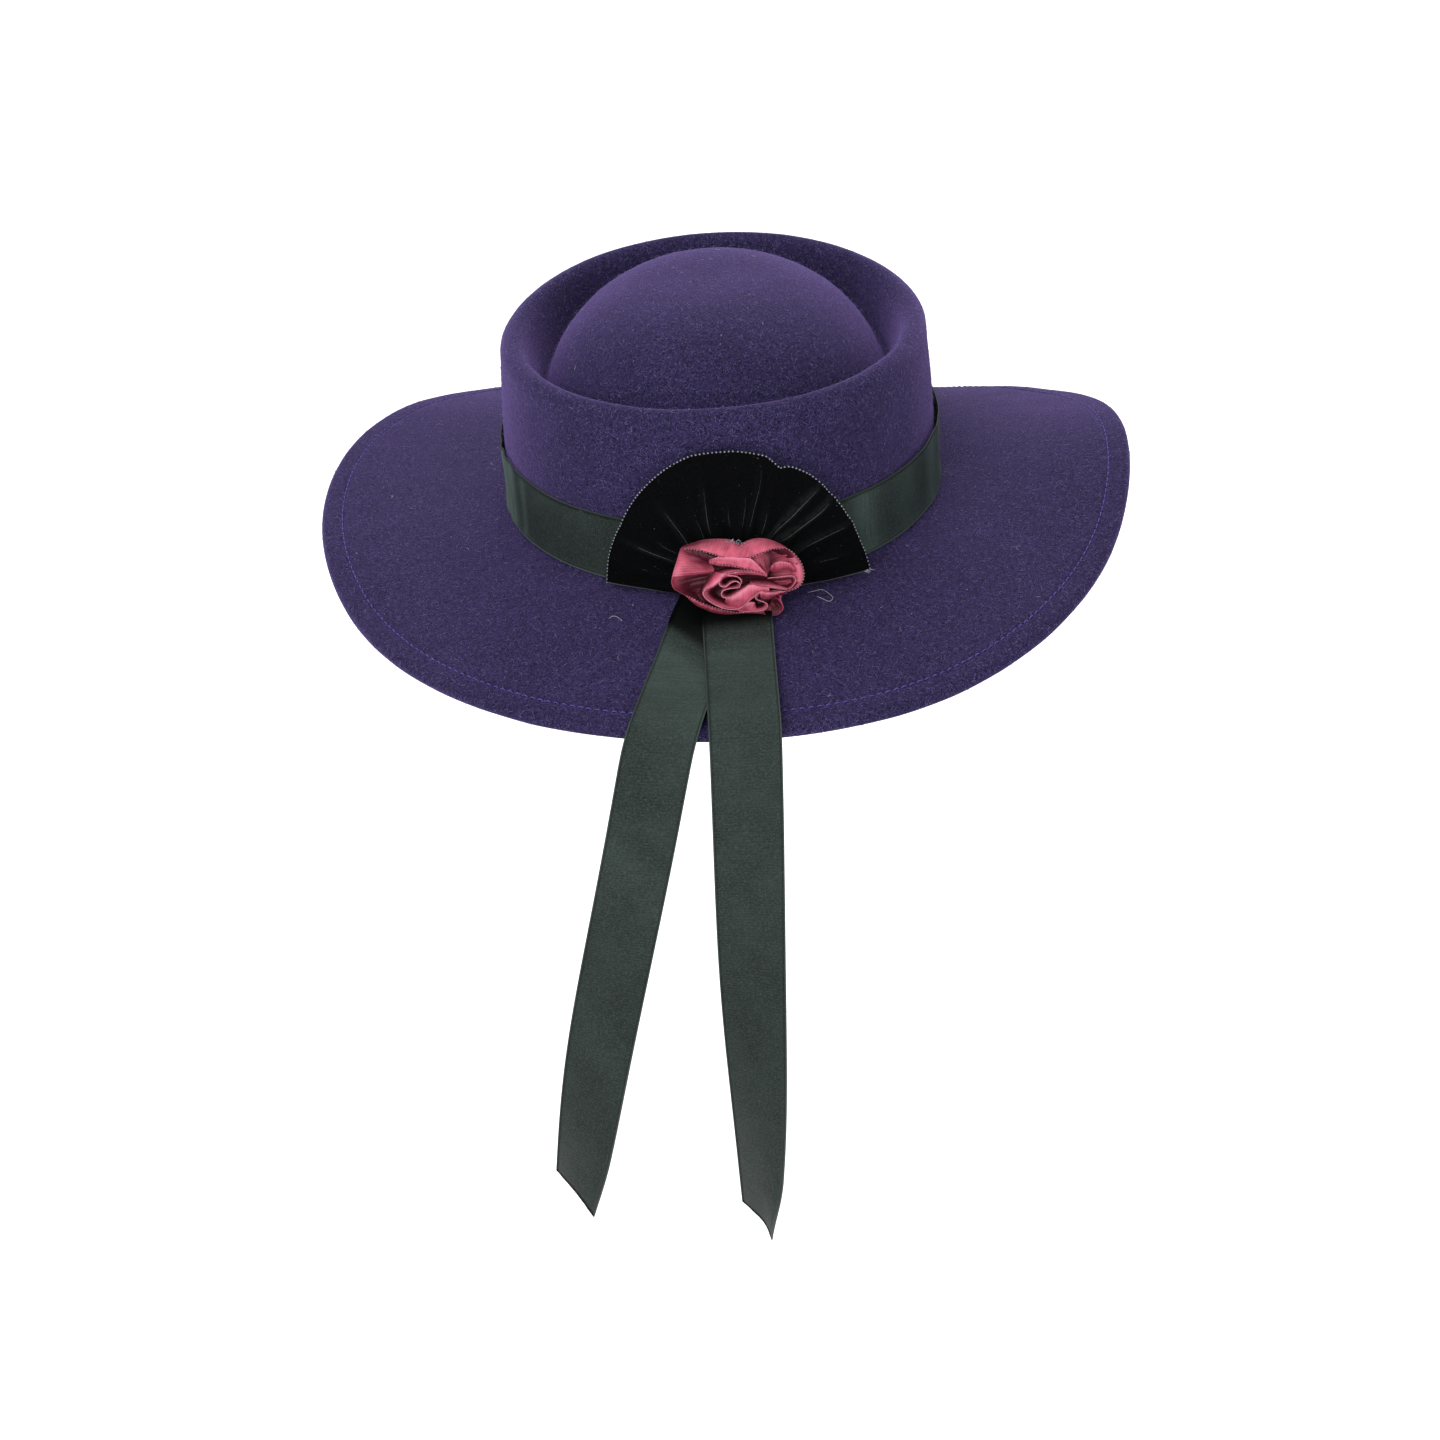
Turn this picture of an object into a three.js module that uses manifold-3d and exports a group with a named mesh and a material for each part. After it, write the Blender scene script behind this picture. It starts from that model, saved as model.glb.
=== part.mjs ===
// Wide-brim felt hat with a telescope crown, satin band, gathered velvet cockade,
// ruffled ribbon rosette and two hanging ribbon tails.
// Millimetres. +Z is up, +Y is the wearer's front, and the cockade and tails are at the back.
// The origin is the middle of the head opening, in the plane where the brim leaves the crown.

import * as THREE from 'three';
import { mergeVertices } from 'three/addons/utils/BufferGeometryUtils.js';
import Module from 'manifold-3d';

const wasm = await Module();
wasm.setup();

// Felt body sizes
const felt = {
  wall: 2.8,
  crownHalfWidth: 86,
  crownExtraLength: 17.2,
  endRise: 2,
  brimWidth: 76,
  brimExtraFront: 2,
  brimCurve: 1.12,
  weltDepth: 8.5,
  weltThickness: 5,
  rimRadius: 5.5,
  rimCentre: 77.9,
  rimHeight: 61.3,
  grooveRadius: 67.4,
  grooveHeight: 46.6,
  domeHalfWidth: 65.5,
  domeFoot: 48,
  domeRise: 35,
  domeForward: 3,
  bandTop: 28,
  leanBelow: 0.6,
  leanAbove: 2,
  turns: 60,
};

// Height of the brim's edge over the break, by direction in degrees from the wearer's right.
// 90 is the front and 270 the back. The rows are evenly spaced round the brim.
const brimEdge = [
  { direction: 0, height: 10.5 },
  { direction: 30, height: -10 },
  { direction: 60, height: -33 },
  { direction: 90, height: -26 },
  { direction: 120, height: -17 },
  { direction: 150, height: 1 },
  { direction: 180, height: -0.2 },
  { direction: 210, height: -12.7 },
  { direction: 240, height: -16.7 },
  { direction: 270, height: -17.8 },
  { direction: 300, height: -17.8 },
  { direction: 330, height: -6.7 },
];

// Share of the dome's half width where its outline has a point
const domeSteps = [0, 0.22, 0.43, 0.61, 0.76, 0.87, 0.95, 0.99];

// Ribbon, velvet and rosette sizes
const gap = 0.35;
const band = { height: 25.4, thickness: 1, foot: 1.5, slack: 0.7 };
const cockade = {
  middle: 3.4,
  foot: 1.6,
  innerRadius: 6,
  thickness: 1.6,
  pleats: 9,
  pleatDepth: 1.1,
  standOff: 0.215,
};
const tailRibbon = { width: 25.4, thickness: 1 };

// Outline of the gathered velvet, by angle in degrees from the wearer's right.
// The dip near 70 degrees is where one end of the velvet laps over the other.
const cockadeOutline = [
  { angle: 0, radius: 49.5 },
  { angle: 14, radius: 47.5 },
  { angle: 30, radius: 46.8 },
  { angle: 44, radius: 47.5 },
  { angle: 56, radius: 49 },
  { angle: 66, radius: 49.3 },
  { angle: 71, radius: 48.2 },
  { angle: 78, radius: 52 },
  { angle: 90, radius: 53.6 },
  { angle: 106, radius: 54.8 },
  { angle: 128, radius: 51.4 },
  { angle: 150, radius: 48.8 },
  { angle: 180, radius: 50 },
];

// Rings of ruffled ribbon in the rosette, from the outer petals to the inner ones
const rosette = {
  place: [2, -111.4, 11],
  tiltDegrees: 70,
  padHalfWidth: 20,
  padHalfHeight: 11.5,
  padDepth: 4,
  ribbonThickness: 1.3,
  curlHeight: 12.5,
};
const ruffles = [
  { foot: 14.5, lip: 23.8, squash: 0.55, lipHeight: 6.5, waves: 7, wave: 1.3, lift: 1.4, start: 20 },
  { foot: 10.5, lip: 18, squash: 0.56, lipHeight: 10, waves: 6, wave: 1, lift: 1.2, start: 65 },
  { foot: 6.5, lip: 11, squash: 0.6, lipHeight: 12.5, waves: 5, wave: 0.7, lift: 0.8, start: 10 },
];

// Hanging tails. Side is millimetres to the wearer's right, heading turns the ribbon on the
// brim and lean turns it below the edge. Hang is its length there, and point is how much
// longer its right side is than its left.
const tails = [
  {
    name: 'left_tail',
    side: -7.5,
    start: 108.5,
    heading: -17.5,
    layer: 0,
    lean: -13.8,
    hang: 200,
    point: 7,
    twist: 50,
    twistPower: 2.4,
  },
  {
    name: 'right_tail',
    side: 0.6,
    start: 108.5,
    heading: -0.5,
    layer: 1,
    lean: -2,
    hang: 213,
    point: 3,
    twist: 60,
    twistPower: 1.6,
  },
];

const degree = Math.PI / 180;

// Smooth closed curve through evenly spaced rows, read at any angle
function aroundTable(rows, key, angle) {
  const place = ((angle / (2 * Math.PI)) * rows.length + 2 * rows.length) % rows.length;
  const first = Math.floor(place);
  const share = place - first;
  const [before, from, to, after] = [-1, 0, 1, 2].map(
    (step) => rows[(first + step + rows.length) % rows.length][key],
  );
  const bend = 2 * before - 5 * from + 4 * to - after;
  const twist = 3 * (from - to) + after - before;
  return from + 0.5 * share * (to - before + share * (bend + share * twist));
}

// Straight run between the rows of a table, read at any value of its first column
function alongTable(rows, from, to, value) {
  const last = rows.findIndex((row) => row[from] >= value);
  if (last <= 0) {
    return rows[last < 0 ? rows.length - 1 : 0][to];
  }
  const share = (value - rows[last - 1][from]) / (rows[last][from] - rows[last - 1][from]);
  return THREE.MathUtils.lerp(rows[last - 1][to], rows[last][to], share);
}

// The hat's plan is an oval: its half length is its half width and a little more
function halfLength(halfWidth) {
  const dome = felt.domeHalfWidth + felt.rimRadius * 2;
  return halfWidth + felt.crownExtraLength * Math.min(1, halfWidth / dome);
}

// Puts a point of the plain round section where the oval, waved hat has it
function shapeHat(radius, angle, height) {
  const onBrim = Math.max(0, radius - felt.crownHalfWidth) / felt.brimWidth;
  const wider = onBrim * felt.brimExtraFront * Math.sin(angle);
  const halfWidth = radius + wider;
  const inDome = Math.max(0, 1 - (radius / felt.domeHalfWidth) ** 2);
  const onCrown = (Math.max(0, height) / felt.rimHeight) * (radius / felt.crownHalfWidth);
  return new THREE.Vector3(
    halfWidth * Math.cos(angle),
    halfLength(halfWidth) * Math.sin(angle) + felt.domeForward * inDome,
    height
      + felt.endRise * onCrown * Math.sin(angle) ** 2
      + aroundTable(brimEdge, 'height', angle) * onBrim ** felt.brimCurve,
  );
}

// Height of the brim's upper side under any point of the plan
function brimHeight(x, y) {
  let inner = felt.crownHalfWidth;
  let outer = felt.crownHalfWidth + felt.brimWidth * 1.1;
  for (let step = 0; step < 30; step += 1) {
    const middle = (inner + outer) / 2;
    const length = halfLength(middle);
    if ((x / middle) ** 2 + (y / length) ** 2 > 1) {
      inner = middle;
    } else {
      outer = middle;
    }
  }
  const angle = Math.atan2(y / halfLength(inner), x / inner);
  const width = felt.brimWidth + felt.brimExtraFront * Math.sin(angle);
  const onBrim = Math.max(0, inner - felt.crownHalfWidth) / width;
  return aroundTable(brimEdge, 'height', angle) * onBrim ** felt.brimCurve;
}

// Half width of the crown's outer wall, and how much the band's foot flares over the break
function wallRadius(height) {
  const lower = Math.min(1, Math.max(0, height) / felt.bandTop);
  const upper = Math.max(0, height - felt.bandTop) / (felt.rimHeight - felt.bandTop);
  return felt.crownHalfWidth - felt.leanBelow * lower - felt.leanAbove * upper;
}

function footFlare(height) {
  return 0.6 * THREE.MathUtils.clamp(1 - (height - band.foot) / 4, 0, 1);
}

function domeHeight(share) {
  return felt.domeFoot + felt.domeRise * (1 - share ** 3) ** 0.75;
}

function feltOutside() {
  const points = domeSteps.map(
    (share) => new THREE.Vector2(share * felt.domeHalfWidth, domeHeight(share)),
  );
  points.push(new THREE.Vector2(felt.grooveRadius - 1.2, felt.grooveHeight + 0.4));
  points.push(new THREE.Vector2(felt.grooveRadius + 1.6, felt.grooveHeight));
  points.push(new THREE.Vector2(felt.rimCentre - felt.rimRadius - 1.6, felt.grooveHeight + 4));
  for (let turn = 180; turn >= 0; turn -= 36) {
    points.push(
      new THREE.Vector2(
        felt.rimCentre + felt.rimRadius * Math.cos(turn * degree),
        felt.rimHeight + felt.rimRadius * Math.sin(turn * degree),
      ),
    );
  }
  points.push(new THREE.Vector2(wallRadius(felt.bandTop), felt.bandTop));
  points.push(new THREE.Vector2(felt.crownHalfWidth, 3.2));
  points.push(new THREE.Vector2(felt.crownHalfWidth + 0.7, 1));
  points.push(new THREE.Vector2(felt.crownHalfWidth + 2.9, 0));
  for (const share of [0.14, 0.3, 0.48, 0.66, 0.8]) {
    points.push(new THREE.Vector2(felt.crownHalfWidth + share * felt.brimWidth, 0));
  }
  points.push(new THREE.Vector2(felt.crownHalfWidth + felt.brimWidth - felt.weltDepth, 0));
  return points;
}

// Inner side of the felt: each point moved in by the wall, square to the section
function feltInside(outside) {
  return outside.map((point, index) => {
    const before = outside[Math.max(0, index - 1)];
    const after = outside[Math.min(outside.length - 1, index + 1)];
    const along = after.clone().sub(before).normalize();
    const inward = new THREE.Vector2(-along.y, along.x).multiplyScalar(-felt.wall);
    const moved = point.clone().add(inward);
    if (point.x === 0) {
      moved.set(0, point.y - felt.wall);
    }
    return moved;
  });
}

// Turned-under edge: twice as thick, with a half-round outside
function weltEdge() {
  const radius = felt.weltThickness / 2;
  const middle = felt.crownHalfWidth + felt.brimWidth - radius;
  const points = [];
  for (let turn = 90; turn >= -90; turn -= 45) {
    points.push(
      new THREE.Vector2(
        middle + radius * Math.cos(turn * degree),
        radius * Math.sin(turn * degree) - radius,
      ),
    );
  }
  points.push(
    new THREE.Vector2(felt.crownHalfWidth + felt.brimWidth - felt.weltDepth, -felt.weltThickness),
  );
  return points;
}

function moveVertices(geometry, place) {
  const position = geometry.attributes.position;
  const point = new THREE.Vector3();
  for (let index = 0; index < position.count; index += 1) {
    point.fromBufferAttribute(position, index);
    const moved = place(point);
    position.setXYZ(index, moved.x, moved.y, moved.z);
  }
  geometry.computeVertexNormals();
  return geometry;
}

// A lathed ring whose every point is then placed by its radius, angle and height
function shapedLathe(profile, turns, place) {
  const geometry = new THREE.LatheGeometry(profile, turns);
  return moveVertices(geometry, (point) => {
    const radius = Math.hypot(point.x, point.z);
    return place(radius, Math.atan2(point.x, point.z), point.y);
  });
}

// A flat slab whose every point is then placed by its shares along, across and through
function shapedSlab(along, across, place) {
  const geometry = new THREE.BoxGeometry(1, 1, 1, along, across, 1);
  return moveVertices(geometry, (point) => place(point.x + 0.5, point.y + 0.5, point.z + 0.5));
}

function makeFelt() {
  const outside = feltOutside();
  const inside = feltInside(outside);
  const profile = [...inside, ...weltEdge().reverse(), ...[...outside].reverse()];
  return shapedLathe(profile, felt.turns, (radius, angle, height) =>
    shapeHat(radius, angle + Math.PI / 2, height),
  );
}

// The band follows the crown wall and stands off it a little at the two sides
function makeBand() {
  const levels = [band.foot, band.foot + 4, band.foot + band.height];
  const sides = [gap, gap + band.thickness].map((off) =>
    levels.map((z) => new THREE.Vector2(wallRadius(z) + off + footFlare(z), z)),
  );
  const profile = [...sides[1], ...sides[0].reverse(), sides[1][0]];
  return shapedLathe(profile, felt.turns, (radius, angle, height) => {
    const rise = (height - band.foot) / band.height;
    const off = band.slack * rise * Math.sin(angle) ** 6;
    const place = shapeHat(radius + off, angle + Math.PI / 2, height);
    place.z = height;
    return place;
  });
}

// Point on the back of the crown, a length along the wall from its middle, and the way out
function backOfCrown(along, height) {
  const halfWidth = wallRadius(height);
  const length = halfLength(halfWidth);
  let angle = -Math.PI / 2;
  const steps = 24;
  for (let step = 0; step < steps; step += 1) {
    const speed = Math.hypot(halfWidth * Math.sin(angle), length * Math.cos(angle));
    angle += along / steps / speed;
  }
  const point = new THREE.Vector3(halfWidth * Math.cos(angle), length * Math.sin(angle), height);
  const out = new THREE.Vector3(length * Math.cos(angle), halfWidth * Math.sin(angle), 0);
  return { point, out: out.normalize() };
}

// Half disc of velvet gathered at its middle. It wraps the crown on the wearer's left
// and stands off it on the right, and it lies over the band.
function makeCockade() {
  const overBand = gap * 2.5 + band.thickness;
  return shapedSlab(44, 6, (share, reach, through) => {
    const angle = 180 * (1 - share);
    const edge = alongTable(cockadeOutline, 'angle', 'radius', angle);
    const radius = THREE.MathUtils.lerp(cockade.innerRadius, edge, reach);
    const along = radius * Math.cos(angle * degree);
    const height = cockade.foot + radius * Math.sin(angle * degree);
    const wall = backOfCrown(cockade.middle + along, height);
    const fade = Math.sin(Math.PI * Math.min(1, reach * 0.75 + 0.15));
    const pleat = 0.5 - 0.5 * Math.cos(2 * Math.PI * cockade.pleats * share);
    const lap = THREE.MathUtils.smoothstep(angle, 68, 74) * reach * 1.2;
    const stand = cockade.standOff * Math.max(0, along) * (1 - (0.5 * height) / 55);
    const aboveBand = THREE.MathUtils.smoothstep(height, felt.bandTop, felt.bandTop + 8);
    const over = overBand + footFlare(height) - aboveBand * band.thickness;
    const rest = over + pleat * fade * cockade.pleatDepth + lap + through * cockade.thickness;
    return wall.point.addScaledVector(wall.out, rest).add(new THREE.Vector3(0, -stand, 0));
  });
}

// A tail lies on the brim, turns down over the edge and hangs, twisting to its pointed end
function makeTail(tail) {
  const lift = gap + tail.layer * (tailRibbon.thickness + gap);
  const foldRadius = felt.weltThickness / 2 + lift;
  const edgeReach = halfLength(felt.crownHalfWidth + felt.brimWidth) - felt.brimExtraFront;
  const edgeMiddle = edgeReach - felt.weltThickness / 2;
  const heading = tail.heading * degree;
  const lean = tail.lean * degree;
  const flat = (edgeMiddle - tail.start) / Math.cos(heading);
  const fold = (foldRadius * Math.PI) / 2;
  const steps = { flat: 12, fold: 4, hang: 16 };
  const allSteps = steps.flat + steps.fold + steps.hang;
  return shapedSlab(allSteps, 2, (share, across, through) => {
    const side = (across - 0.5) * tailRibbon.width;
    const out = through * tailRibbon.thickness;
    const step = share * allSteps;
    const start = tail.side + side * Math.cos(heading);
    const edgeX = start + flat * Math.sin(heading);
    const edgeY = -edgeMiddle + edgeCurve(edgeX);
    const flatHere = (side * Math.sin(heading) - edgeY - tail.start) / Math.cos(heading);
    if (step <= steps.flat) {
      const along = (flatHere * step) / steps.flat;
      const x = start + along * Math.sin(heading);
      const y = -tail.start - along * Math.cos(heading) + side * Math.sin(heading);
      return new THREE.Vector3(x, y, brimHeight(x, y) + lift + out);
    }
    const edgeZ = brimHeight(edgeX, edgeY) - felt.weltThickness / 2;
    const turn = Math.min(1, (step - steps.flat) / steps.fold);
    if (turn < 1) {
      const reach = foldRadius + out;
      return new THREE.Vector3(
        start + (flatHere + turn * fold) * Math.sin(heading),
        edgeY - reach * Math.sin((turn * Math.PI) / 2),
        edgeZ + reach * Math.cos((turn * Math.PI) / 2),
      );
    }
    const low = (step - steps.flat - steps.fold) / steps.hang;
    const drop = low * (tail.hang + tail.point * (across - 0.5)) + (flat - flatHere) * low;
    const twist = tail.twist * degree * low ** tail.twistPower;
    const middleX = tail.side + (flat + fold) * Math.sin(heading) + drop * Math.sin(lean);
    return new THREE.Vector3(
      middleX + side * Math.cos(twist) + out * Math.sin(twist),
      edgeY - foldRadius - side * Math.sin(twist) - out * Math.cos(twist),
      edgeZ - drop * Math.cos(lean),
    );
  });
}

// How much nearer the crown the brim's edge is at a distance to the side
function edgeCurve(x) {
  const halfWidth = felt.crownHalfWidth + felt.brimWidth - felt.brimExtraFront;
  const length = halfLength(halfWidth);
  return length * (1 - Math.sqrt(1 - (x / halfWidth) ** 2));
}

function toSolid(geometry) {
  const bare = geometry.clone();
  bare.deleteAttribute('normal');
  bare.deleteAttribute('uv');
  const merged = mergeVertices(bare, 1e-4);
  return new wasm.Manifold(
    new wasm.Mesh({
      numProp: 3,
      vertProperties: Float32Array.from(merged.attributes.position.array),
      triVerts: Uint32Array.from(merged.index.array),
    }),
  );
}

function toGeometry(solid) {
  const mesh = solid.getMesh();
  const geometry = new THREE.BufferGeometry();
  geometry.setAttribute('position', new THREE.BufferAttribute(mesh.vertProperties, 3));
  geometry.setIndex(new THREE.BufferAttribute(mesh.triVerts, 1));
  geometry.computeVertexNormals();
  return geometry;
}

// One ruffle: a thin flared wall that stands on the pad, its lip waved in and out
function makeRuffle(ruffle) {
  const half = rosette.ribbonThickness / 2;
  const profile = [
    new THREE.Vector2(ruffle.foot - half, 1),
    new THREE.Vector2(ruffle.foot + half, 1),
    new THREE.Vector2((ruffle.foot + ruffle.lip) / 2 + half * 1.6, ruffle.lipHeight * 0.45),
    new THREE.Vector2(ruffle.lip + half, ruffle.lipHeight),
    new THREE.Vector2(ruffle.lip - half, ruffle.lipHeight + 0.6),
    new THREE.Vector2((ruffle.foot + ruffle.lip) / 2 - half * 1.2, ruffle.lipHeight * 0.45 + 1.4),
    new THREE.Vector2(ruffle.foot - half, 1),
  ];
  return shapedLathe(profile, 32, (radius, angle, height) => {
    const out = (radius - ruffle.foot) / (ruffle.lip - ruffle.foot);
    const phase = ruffle.waves * angle + ruffle.start * degree;
    const reach = radius + out * ruffle.wave * Math.sin(phase);
    return new THREE.Vector3(
      reach * Math.cos(angle),
      reach * Math.sin(angle) * ruffle.squash,
      height + Math.max(0, out) * ruffle.lift * Math.cos(phase),
    );
  });
}

// The rolled middle: an S-shaped strip standing on the pad
function makeCurl() {
  const strip = new THREE.Shape();
  const middle = [];
  for (let step = 0; step <= 16; step += 1) {
    const share = step / 16 - 0.5;
    middle.push(new THREE.Vector2(7 * share, 3.1 * Math.sin(2 * Math.PI * share)));
  }
  const half = rosette.ribbonThickness / 2;
  const sides = [1, -1].map((side) =>
    middle.map((point, index) => {
      const before = middle[Math.max(0, index - 1)];
      const after = middle[Math.min(middle.length - 1, index + 1)];
      const along = after.clone().sub(before).normalize();
      return point.clone().add(new THREE.Vector2(-along.y, along.x).multiplyScalar(side * half));
    }),
  );
  strip.setFromPoints([...sides[1], ...sides[0].reverse()]);
  return new THREE.ExtrudeGeometry(strip, { depth: rosette.curlHeight, bevelEnabled: false });
}

function makePad() {
  const profile = [
    new THREE.Vector2(0, 0),
    new THREE.Vector2(rosette.padHalfWidth * 0.9, 0),
    new THREE.Vector2(rosette.padHalfWidth, rosette.padDepth * 0.4),
    new THREE.Vector2(rosette.padHalfWidth * 0.7, rosette.padDepth),
    new THREE.Vector2(0, rosette.padDepth * 1.3),
  ];
  const squash = rosette.padHalfHeight / rosette.padHalfWidth;
  return shapedLathe(profile, 28, (radius, angle, height) =>
    new THREE.Vector3(radius * Math.cos(angle), radius * Math.sin(angle) * squash, height),
  );
}

function makeRosette() {
  const curl = makeCurl();
  curl.translate(0, 0, 1);
  const pieces = [curl, ...ruffles.map(makeRuffle)];
  let solid = toSolid(makePad());
  for (const piece of pieces) {
    solid = solid.add(toSolid(piece));
  }
  return toGeometry(solid);
}

// Finishes
const finishes = {
  felt: { color: 0x3d3063, roughness: 0.95 },
  satin: { color: 0x2b3532, roughness: 0.45 },
  velvet: { color: 0x0b0b0d, roughness: 1 },
  rose: { color: 0xa3425c, roughness: 0.5 },
};

function makeMesh(name, geometry, finish) {
  const material = new THREE.MeshStandardMaterial({ ...finishes[finish], metalness: 0 });
  const mesh = new THREE.Mesh(geometry, material);
  mesh.name = name;
  return mesh;
}

const hat = new THREE.Group();
hat.add(makeMesh('felt_body', makeFelt(), 'felt'));
hat.add(makeMesh('hat_band', makeBand(), 'satin'));
hat.add(makeMesh('velvet_cockade', makeCockade(), 'velvet'));

const rose = makeMesh('ribbon_rosette', makeRosette(), 'rose');
rose.position.set(...rosette.place);
rose.rotation.x = rosette.tiltDegrees * degree;
hat.add(rose);

for (const tail of tails) {
  hat.add(makeMesh(tail.name, makeTail(tail), 'satin'));
}

export default hat;
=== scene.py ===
# A wide-brim felt hat with a telescope crown, a satin band, a gathered velvet cockade,
# a ribbon rosette and two ribbon tails that hang at its back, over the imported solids.
import math
import random
import bpy
from mathutils import Matrix, Vector, noise


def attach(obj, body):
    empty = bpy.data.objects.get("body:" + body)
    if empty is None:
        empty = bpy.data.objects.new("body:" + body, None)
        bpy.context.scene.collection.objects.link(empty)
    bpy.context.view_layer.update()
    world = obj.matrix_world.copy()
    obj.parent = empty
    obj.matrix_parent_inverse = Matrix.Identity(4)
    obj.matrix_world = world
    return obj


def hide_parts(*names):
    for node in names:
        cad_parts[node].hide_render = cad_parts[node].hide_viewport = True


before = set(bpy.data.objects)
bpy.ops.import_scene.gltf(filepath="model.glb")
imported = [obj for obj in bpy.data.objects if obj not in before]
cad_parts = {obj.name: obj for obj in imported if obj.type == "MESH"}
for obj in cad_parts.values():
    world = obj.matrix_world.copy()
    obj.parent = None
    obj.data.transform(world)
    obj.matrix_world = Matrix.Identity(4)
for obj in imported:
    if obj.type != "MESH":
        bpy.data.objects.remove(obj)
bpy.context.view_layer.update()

mm = 0.001  # shapes are in millimetres here, and in metres in their meshes
degree = math.pi / 180
gap = 0.35


# small helpers for numbers and tables
def clamp(value, low=0.0, high=1.0):
    return max(low, min(high, value))


def mix(start, end, share):
    return start + (end - start) * share


def ease(value, low, high):
    share = clamp((value - low) / (high - low))
    return share * share * (3 - 2 * share)


def bump(value, middle, width):
    return math.exp(-(((value - middle) / width) ** 2))


def smoothBetween(before, start, end, after, share):
    # from start to end on a cubic that the values before and after also shape
    bend = 2 * before - 5 * start + 4 * end - after
    twist = 3 * (start - end) + after - before
    return start + 0.5 * share * (end - before + share * (bend + share * twist))


def aroundTable(rows, angle):
    # smooth value from rows spaced evenly around a circle
    place = (angle / (2 * math.pi) * len(rows)) % len(rows)
    first = int(place)
    near = [rows[(first + step) % len(rows)] for step in (-1, 0, 1, 2)]
    return smoothBetween(*near, place - first)


def straightTable(rows, value):
    if value <= rows[0][0]:
        return rows[0][1]
    for (lowAt, low), (highAt, high) in zip(rows, rows[1:]):
        if value <= highAt:
            return mix(low, high, (value - lowAt) / (highAt - lowAt))
    return rows[-1][1]


def throughPoints(points, share):
    # smooth line through points, all of it over shares 0 to 1
    place = clamp(share) * (len(points) - 1)
    first = min(int(place), len(points) - 2)
    near = [Vector(points[max(0, min(len(points) - 1, first + step))]) for step in (-1, 0, 1, 2)]
    return smoothBetween(*near, place - first)


# materials
def linearColour(hexText):
    values = [int(hexText[place:place + 2], 16) / 255 for place in (0, 2, 4)]
    return [v / 12.92 if v <= 0.04045 else ((v + 0.055) / 1.055) ** 2.4 for v in values] + [1.0]


def addNode(material, kind, links=None, **settings):
    # a shader node; each link is another node's output or a plain value for that socket
    node = material.node_tree.nodes.new("ShaderNode" + kind)
    for name, value in settings.items():
        setattr(node, name, value)
    for socket, value in (links or {}).items():
        if isinstance(value, bpy.types.NodeSocket):
            material.node_tree.links.new(value, node.inputs[socket])
        else:
            node.inputs[socket].default_value = value
    return node


def newMaterial(name):
    material = bpy.data.materials.new(name)
    material.use_nodes = True
    material.node_tree.nodes.clear()
    return material


# meshes
def makePiece(name, points, faces, material, slotName, node=None, cloth=None):
    # cloth holds, for each point, its place along and across the ribbon in millimetres, and how
    # much painted light or painted shade the material draws there
    mesh = bpy.data.meshes.new(name)
    mesh.from_pydata([Vector(point) * mm for point in points], [], faces)
    mesh.update()
    mesh.shade_smooth()
    if cloth:
        marks = mesh.attributes.new("clothPlaceAndPaintedLight", "FLOAT_VECTOR", "POINT")
        marks.data.foreach_set("vector", [value for mark in cloth for value in mark])
    mesh.materials.append(material)
    piece = bpy.data.objects.new(name, mesh)
    bpy.context.scene.collection.objects.link(piece)
    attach(piece, "root")
    if node:
        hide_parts(node)
    return piece


def gridFaces(rows, columns, start=0, roundRows=False, roundColumns=False, flip=False):
    faces = []
    for row in range(rows if roundRows else rows - 1):
        for column in range(columns if roundColumns else columns - 1):
            nextRow = (row + 1) % rows
            nextColumn = (column + 1) % columns
            face = [
                start + row * columns + column,
                start + row * columns + nextColumn,
                start + nextRow * columns + nextColumn,
                start + nextRow * columns + column,
            ]
            faces.append(face[::-1] if flip else face)
    return faces


def clothSheet(place, along, across, thickness, roundAlong=False, start=0, marks=None):
    # closed thin sheet about a middle surface: place(share along, share across) is its point
    rows = along if roundAlong else along + 1
    columns = across + 1
    middle = [
        [Vector(place(row / along, column / across)) for column in range(columns)]
        for row in range(rows)
    ]
    points = [[], []]
    for row in range(rows):
        if roundAlong:
            ahead, behind = (row + 1) % rows, (row - 1) % rows
        else:
            ahead, behind = min(row + 1, rows - 1), max(row - 1, 0)
        for column in range(columns):
            right, left = min(column + 1, across), max(column - 1, 0)
            tangent = middle[ahead][column] - middle[behind][column]
            side = middle[row][right] - middle[row][left]
            normal = tangent.cross(side)
            normal = normal.normalized() if normal.length > 1e-9 else Vector((0, 0, 1))
            points[0].append(middle[row][column] + normal * (thickness / 2))
            points[1].append(middle[row][column] - normal * (thickness / 2))
    total = rows * columns
    faces = gridFaces(rows, columns, start, roundRows=roundAlong, flip=True)
    faces += gridFaces(rows, columns, start + total, roundRows=roundAlong)
    for row in range(rows if roundAlong else rows - 1):
        after = (row + 1) % rows
        for column, turned in ((0, False), (across, True)):
            face = [
                start + row * columns + column,
                start + after * columns + column,
                start + total + after * columns + column,
                start + total + row * columns + column,
            ]
            faces.append(face[::-1] if turned else face)
    if not roundAlong:
        for column in range(across):
            for row, turned in ((0, True), (rows - 1, False)):
                face = [
                    start + row * columns + column,
                    start + row * columns + column + 1,
                    start + total + row * columns + column + 1,
                    start + total + row * columns + column,
                ]
                faces.append(face[::-1] if turned else face)
    notes = []
    if marks:
        notes = [
            marks(row / along, column / across) for row in range(rows) for column in range(columns)
        ]
    return points[0] + points[1], faces, notes * 2


def makeCloth(name, place, along, across, thickness, material, slotName, node, marks,
              roundAlong=False):
    points, faces, notes = clothSheet(place, along, across, thickness, roundAlong, marks=marks)
    return makePiece(name, points, faces, material, slotName, node=node, cloth=notes)


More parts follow.
